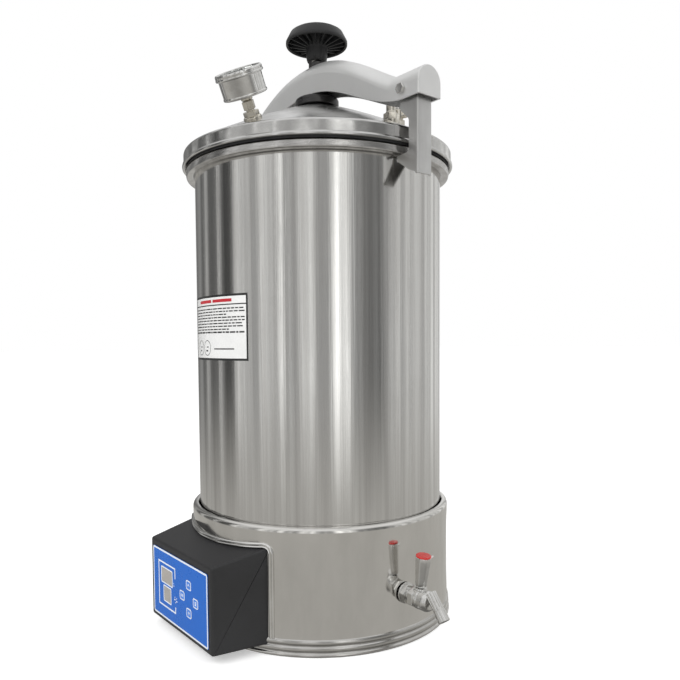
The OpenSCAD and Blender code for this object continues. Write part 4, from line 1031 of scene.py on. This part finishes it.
def arm_skin(inset, drop, end_soft):
    """The arm's outside, or its inside when drawn in by the wall: arches (y, z) set along x.

    An arch is two straight flanks under half an ellipse, and the arches reach further out on the -X side.
    Over the last stretch of each end the
    arches shrink along a quarter circle, and then close down to a point on the foot line."""
    end = arm_reach - inset
    curl = np.linspace(0, np.pi / 2, 6)[1:]
    middle = np.linspace(-(end - end_soft), end - end_soft, 120)
    tip = end - end_soft + end_soft * np.sin(curl)
    x = np.concatenate([[-end] * 4, -tip[::-1], middle, tip, [end] * 4])
    shrink = end_soft * (1 - np.cos(curl))
    draw = np.concatenate([[shrink[-1]] * 4, shrink[::-1], np.zeros(120), shrink, [shrink[-1]] * 4])
    close = np.concatenate([[0, 0.3, 0.6, 0.85], np.ones(130), [0.85, 0.6, 0.3, 0]])
    place = np.where(x < 0, x + 19 * (1 - np.exp(np.minimum(x, 0) / 30)), x)
    half = (arm_half - inset - draw)[:, None]
    top = (582.3 + 55.7 * wave(place, 140) ** 0.56 - inset - draw)[:, None]
    foot = (552.5 + 48.5 * wave(place, 160) ** 0.88 - drop)[:, None]
    rise = 16.0 - inset
    up = np.linspace(0, 1, 26)[None]
    turn = np.linspace(np.pi, 0, 17)[None, 1:-1]
    flank = foot + (top - rise - foot) * up
    over = half * np.cos(turn)
    crown = top - rise + rise * np.sin(turn)
    y = np.concatenate([np.repeat(-half, 26, 1), over, np.repeat(half, 26, 1)], 1)
    z = np.concatenate([flank, crown, flank[:, ::-1]], 1)
    crease = np.exp(-((z - (top - 13.5)) / 1.0) ** 2) * np.exp(-((x[:, None] - 42) / 26) ** 6)
    y = y - np.sign(y) * 0.9 * crease * (np.abs(y) > 0.9 * half)
    z = foot + (z - foot) * close[:, None]
    return np.stack([np.repeat(x[:, None], y.shape[1], 1), y * close[:, None], z], -1)


arm_grid = np.concatenate([arm_skin(0, 0, 1.5), arm_skin(arm_wall, 0, 1.0)[:, ::-1]], 1)
fit(skin("clamp_arm_pressing", arm_grid, sharp=40), steel_arm, "clamp", "satin_steel", "clamp_arm")

# ---- Arm bush ----
# A blackened turned bush under the arm, with a wide skirt that hides the cup.
# Its neck comes up through the arm and shows as a thin collar.
bush_low, bush_high = size("arm_bush")
bush_outline = rounded([(6.3, 598), (22.5, 598), (22.5, bush_low[2]), (25.5, bush_low[2]), (25.5, 597.2),
                        (24.4, 598.6), (13, 600.4), (13, 632), (9.5, 632), (9.5, bush_high[2]),
                        (6.3, bush_high[2])], [0.2, 0.4, 0.4, 0.6, 1, 1, 1, 0.4, 0.4, 0.6, 0.4], 4)
fit(turned("arm_bush_turning", bush_outline, 128), dark_iron, "clamp", "dark_steel", "arm_bush")

# ---- Hooks and their bolts ----
# Each hook is a channel bent from 2 mm sheet. Its web hangs outside the rims,
# and its two flanges are cut to a jaw that grips under the barrel's flange.
hook_low, hook_high = size("hook_right")
hook_half, hook_wall, hook_bend = 9.8, 2.0, 1.8
steel_hook = finish("hook_steel", (0.74, 0.74, 0.735), (0.62, 0.615, 0.61), (0.28, 0.4),
                    lines=(60, 60, 12), cloud=24, sheer=0.5, bump=0.12, Metallic=1.0)
jaw = np.radians(np.linspace(0, -90, 9))
jaw_edge = np.vstack([[(151.4, hook_high[2]), (150.4, hook_high[2] - 1.4), (150.4, 562), (150.4, 547),
                       (151, 545),
                       (162.0, 534.3), (162.7, 532.2), (162.7, 520)],
                      np.column_stack([157.7 + 5 * np.cos(jaw), 506.3 + 5 * np.sin(jaw)]),
                      [(152, 500.9), (146.6, 500.4), (145.7, 499.6), (147.4, 495.4), (148.4, 494.2),
                       (155, 489.4),
                       (162, 484.6), (171.4, 480.6), (171.9, hook_low[2])]])


def hook_channel(inset):
    """The channel's outside, or inside when drawn in by the wall: one U for each point of the jaw's edge."""
    web, half = hook_high[0] - inset, hook_half - inset
    bend = max(hook_bend - inset, 0.4)
    quarter = np.radians(np.linspace(-90, 0, 6))
    corner_x = web - bend + bend * np.cos(quarter)
    corner_y = -half + bend + bend * np.sin(quarter)
    edge = np.minimum(jaw_edge[:, :1], web - bend - 0.2)
    run = np.linspace(0, 1, 6)[None, :-1]
    flank = edge + (web - bend - edge) * run
    bends = np.repeat(corner_x[None], len(jaw_edge), 0)
    x = np.concatenate([flank, bends, bends[:, ::-1], flank[:, ::-1]], 1)
    across = np.concatenate([np.full(5, -half), corner_y, -corner_y[::-1], np.full(5, half)])
    y = np.repeat(across[None], len(jaw_edge), 0)
    return np.stack([x, y, np.repeat(jaw_edge[:, 1:], x.shape[1], 1)], -1)


hook_grid = np.concatenate([hook_channel(0), hook_channel(hook_wall)[:, ::-1]], 1)
hook_rows, hook_columns = hook_grid.shape[:2]
hook_faces = quads(hook_rows, hook_columns, False, True).tolist()
strip = np.column_stack([np.arange(21), np.arange(1, 22), hook_columns - 2 - np.arange(21),
                         hook_columns - 1 - np.arange(21)])
hook_faces += strip.tolist() + (strip + (hook_rows - 1) * hook_columns).tolist()
AROUND = Matrix.Rotation(np.pi, 4, "Z")
for side, place in (("right", Matrix.Identity(4)), ("left", AROUND)):
    hook = put(solid(f"hook_{side}_channel", hook_grid.reshape(-1, 3), hook_faces), place)
    fit(hook, steel_hook, f"hook_{side}", "satin_steel", f"hook_{side}")
    bolt = place @ Matrix.Translation((0.1585, 0, 0.5624)) @ FACING
    shank = rounded([(0, -18), (4, -18), (4, 18), (0, 18)], [0, 0.5, 0.5, 0], 3)
    fit(put(turned(f"hook_{side}_bolt", shank, 40), bolt), plated, "clamp", "chrome", f"hook_pin_{side}")
    head = eased(arm_half - 0.05, arm_half + 3.6, 0.8, 3)
    fit(put(slab(f"hook_{side}_bolt_head", hexagon(9.6), head), bolt), plated, "clamp", "chrome")
    tail = eased(-arm_half - 4, -arm_half + 0.05, 0.8, 3)
    fit(put(slab(f"hook_{side}_bolt_nut", hexagon(9.6), tail), bolt), plated, "clamp", "chrome")
    for end, low in (("near", hook_half + 0.15), ("far", -arm_half + arm_wall + 0.05)):
        high = low + arm_half - arm_wall - hook_half - 0.2
        spacer = rounded([(4, low), (6.5, low), (6.5, high), (4, high)], 0.4, 3)
        fit(put(turned(f"hook_{side}_spacer_{end}", spacer, 32), bolt), zinc, "clamp", "chrome")

# ---- Clamp screw ----
# A bright turned spindle with a coarse thread through the bush. Its collar is
# held in the cup on the lid, and its top end carries the handwheel.
spindle_low, spindle_high = size("spindle")
thread_rise = np.linspace(594, 654, 180)
spindle_outline = np.vstack([
    [(0, spindle_low[2]), (10.2, spindle_low[2]), (10.7, spindle_low[2] + 0.5), (10.7, spindle_low[2] + 2.3),
     (10.2, spindle_low[2] + 2.8), (6.2, spindle_low[2] + 2.8)],
    np.column_stack([np.full(180, 6.2), thread_rise]),
    [(6.2, 664), (4, 664.4), (4, spindle_high[2] - 0.6), (3.4, spindle_high[2]), (0, spindle_high[2])]])


def screw_thread(angle, radius, height):
    """A 4 mm thread on the spindle's middle stretch, flat-topped and 0.8 mm deep."""
    phase = (height / 4 - angle / (2 * np.pi)) % 1
    groove = np.clip(np.abs(2 * phase - 1) * 2.2 - 0.9, 0, 1)
    return -0.8 * groove * (height > 593) * (height < 655)


fit(turned("clamp_screw", spindle_outline, 48, screw_thread, 60), plated, "screw", "chrome", "spindle")

# ---- Handwheel ----
# A mushroom-shaped phenolic moulding: a smooth domed top, a hollow underside
# with thin radial ribs, and a hub whose foot is fluted like a small knob.
wheel_low, wheel_high = size("handwheel")
wheel_r = wheel_high[0]
phenolic = finish("black_phenolic", (0.012, 0.012, 0.0125), (0.018, 0.018, 0.0185), (0.3, 0.46),
                  lines=(160, 160, 160), cloud=26, bump=0.1, Specular_IOR_Level=0.35)
rim_turn = np.radians(np.linspace(-70, 0, 6))
dome_share = np.linspace(0, 1, 18) ** 0.7
wheel_dome = np.column_stack([wheel_r * (1 - dome_share),
                              665 + 15 * (1 - (1 - dome_share) ** 3.2) ** (1 / 2.1)])
wheel_outline = np.vstack([
    [(0, 669), (6.25, 669), (6.25, 643.4), (8.4, 642.95), (10.6, wheel_low[2]), (11.6, 644.2), (12.1, 647),
     (12.3, 650), (12.3, 656.5), (13.4, 660.5), (15.8, 663.4), (22, 666), (31.6, 667.4), (33, 665.6),
     (33.5, 662.4)],
    np.column_stack([34.6 + 1.4 * np.cos(rim_turn), 662.6 + 1.6 * np.sin(rim_turn)]),
    wheel_dome])


def foot_flutes(angle, radius, height):
    """Eight round flutes in the lower end of the hub, deepest at its foot and gone 8 mm above it."""
    return -1.5 * np.clip(np.cos(8 * angle), 0, 1) ** 2 * np.clip((651 - height) / 7, 0, 1) * (radius > 8)


fit(turned("handwheel_moulding", wheel_outline, 160, foot_flutes), phenolic, "screw", "black_moulding",
    "handwheel")
rib_count = 18
rib_side = np.array([(11.8, 658.5), (33.2, 663.2), (33.2, 668), (11.8, 667)])
rib = np.array([(r, side * (0.75 if r < 20 else 0.55), z) for side in (-1, 1) for r, z in rib_side])
rib_turn = np.linspace(0, 2 * np.pi, rib_count, endpoint=False)[:, None]
ribs = np.stack([rib[:, 0] * np.cos(rib_turn) - rib[:, 1] * np.sin(rib_turn),
                 rib[:, 0] * np.sin(rib_turn) + rib[:, 1] * np.cos(rib_turn),
                 np.repeat(rib[None, :, 2], rib_count, 0)], -1)
rib_faces = np.array([(0, 1, 2, 3), (7, 6, 5, 4), (0, 4, 5, 1), (1, 5, 6, 2), (2, 6, 7, 3), (3, 7, 4, 0)])
rib_all = (rib_faces[None] + 8 * np.arange(rib_count)[:, None, None]).reshape(-1, 4)
fit(solid("handwheel_ribs", ribs.reshape(-1, 3), rib_all.tolist()), phenolic, "screw", "black_moulding")
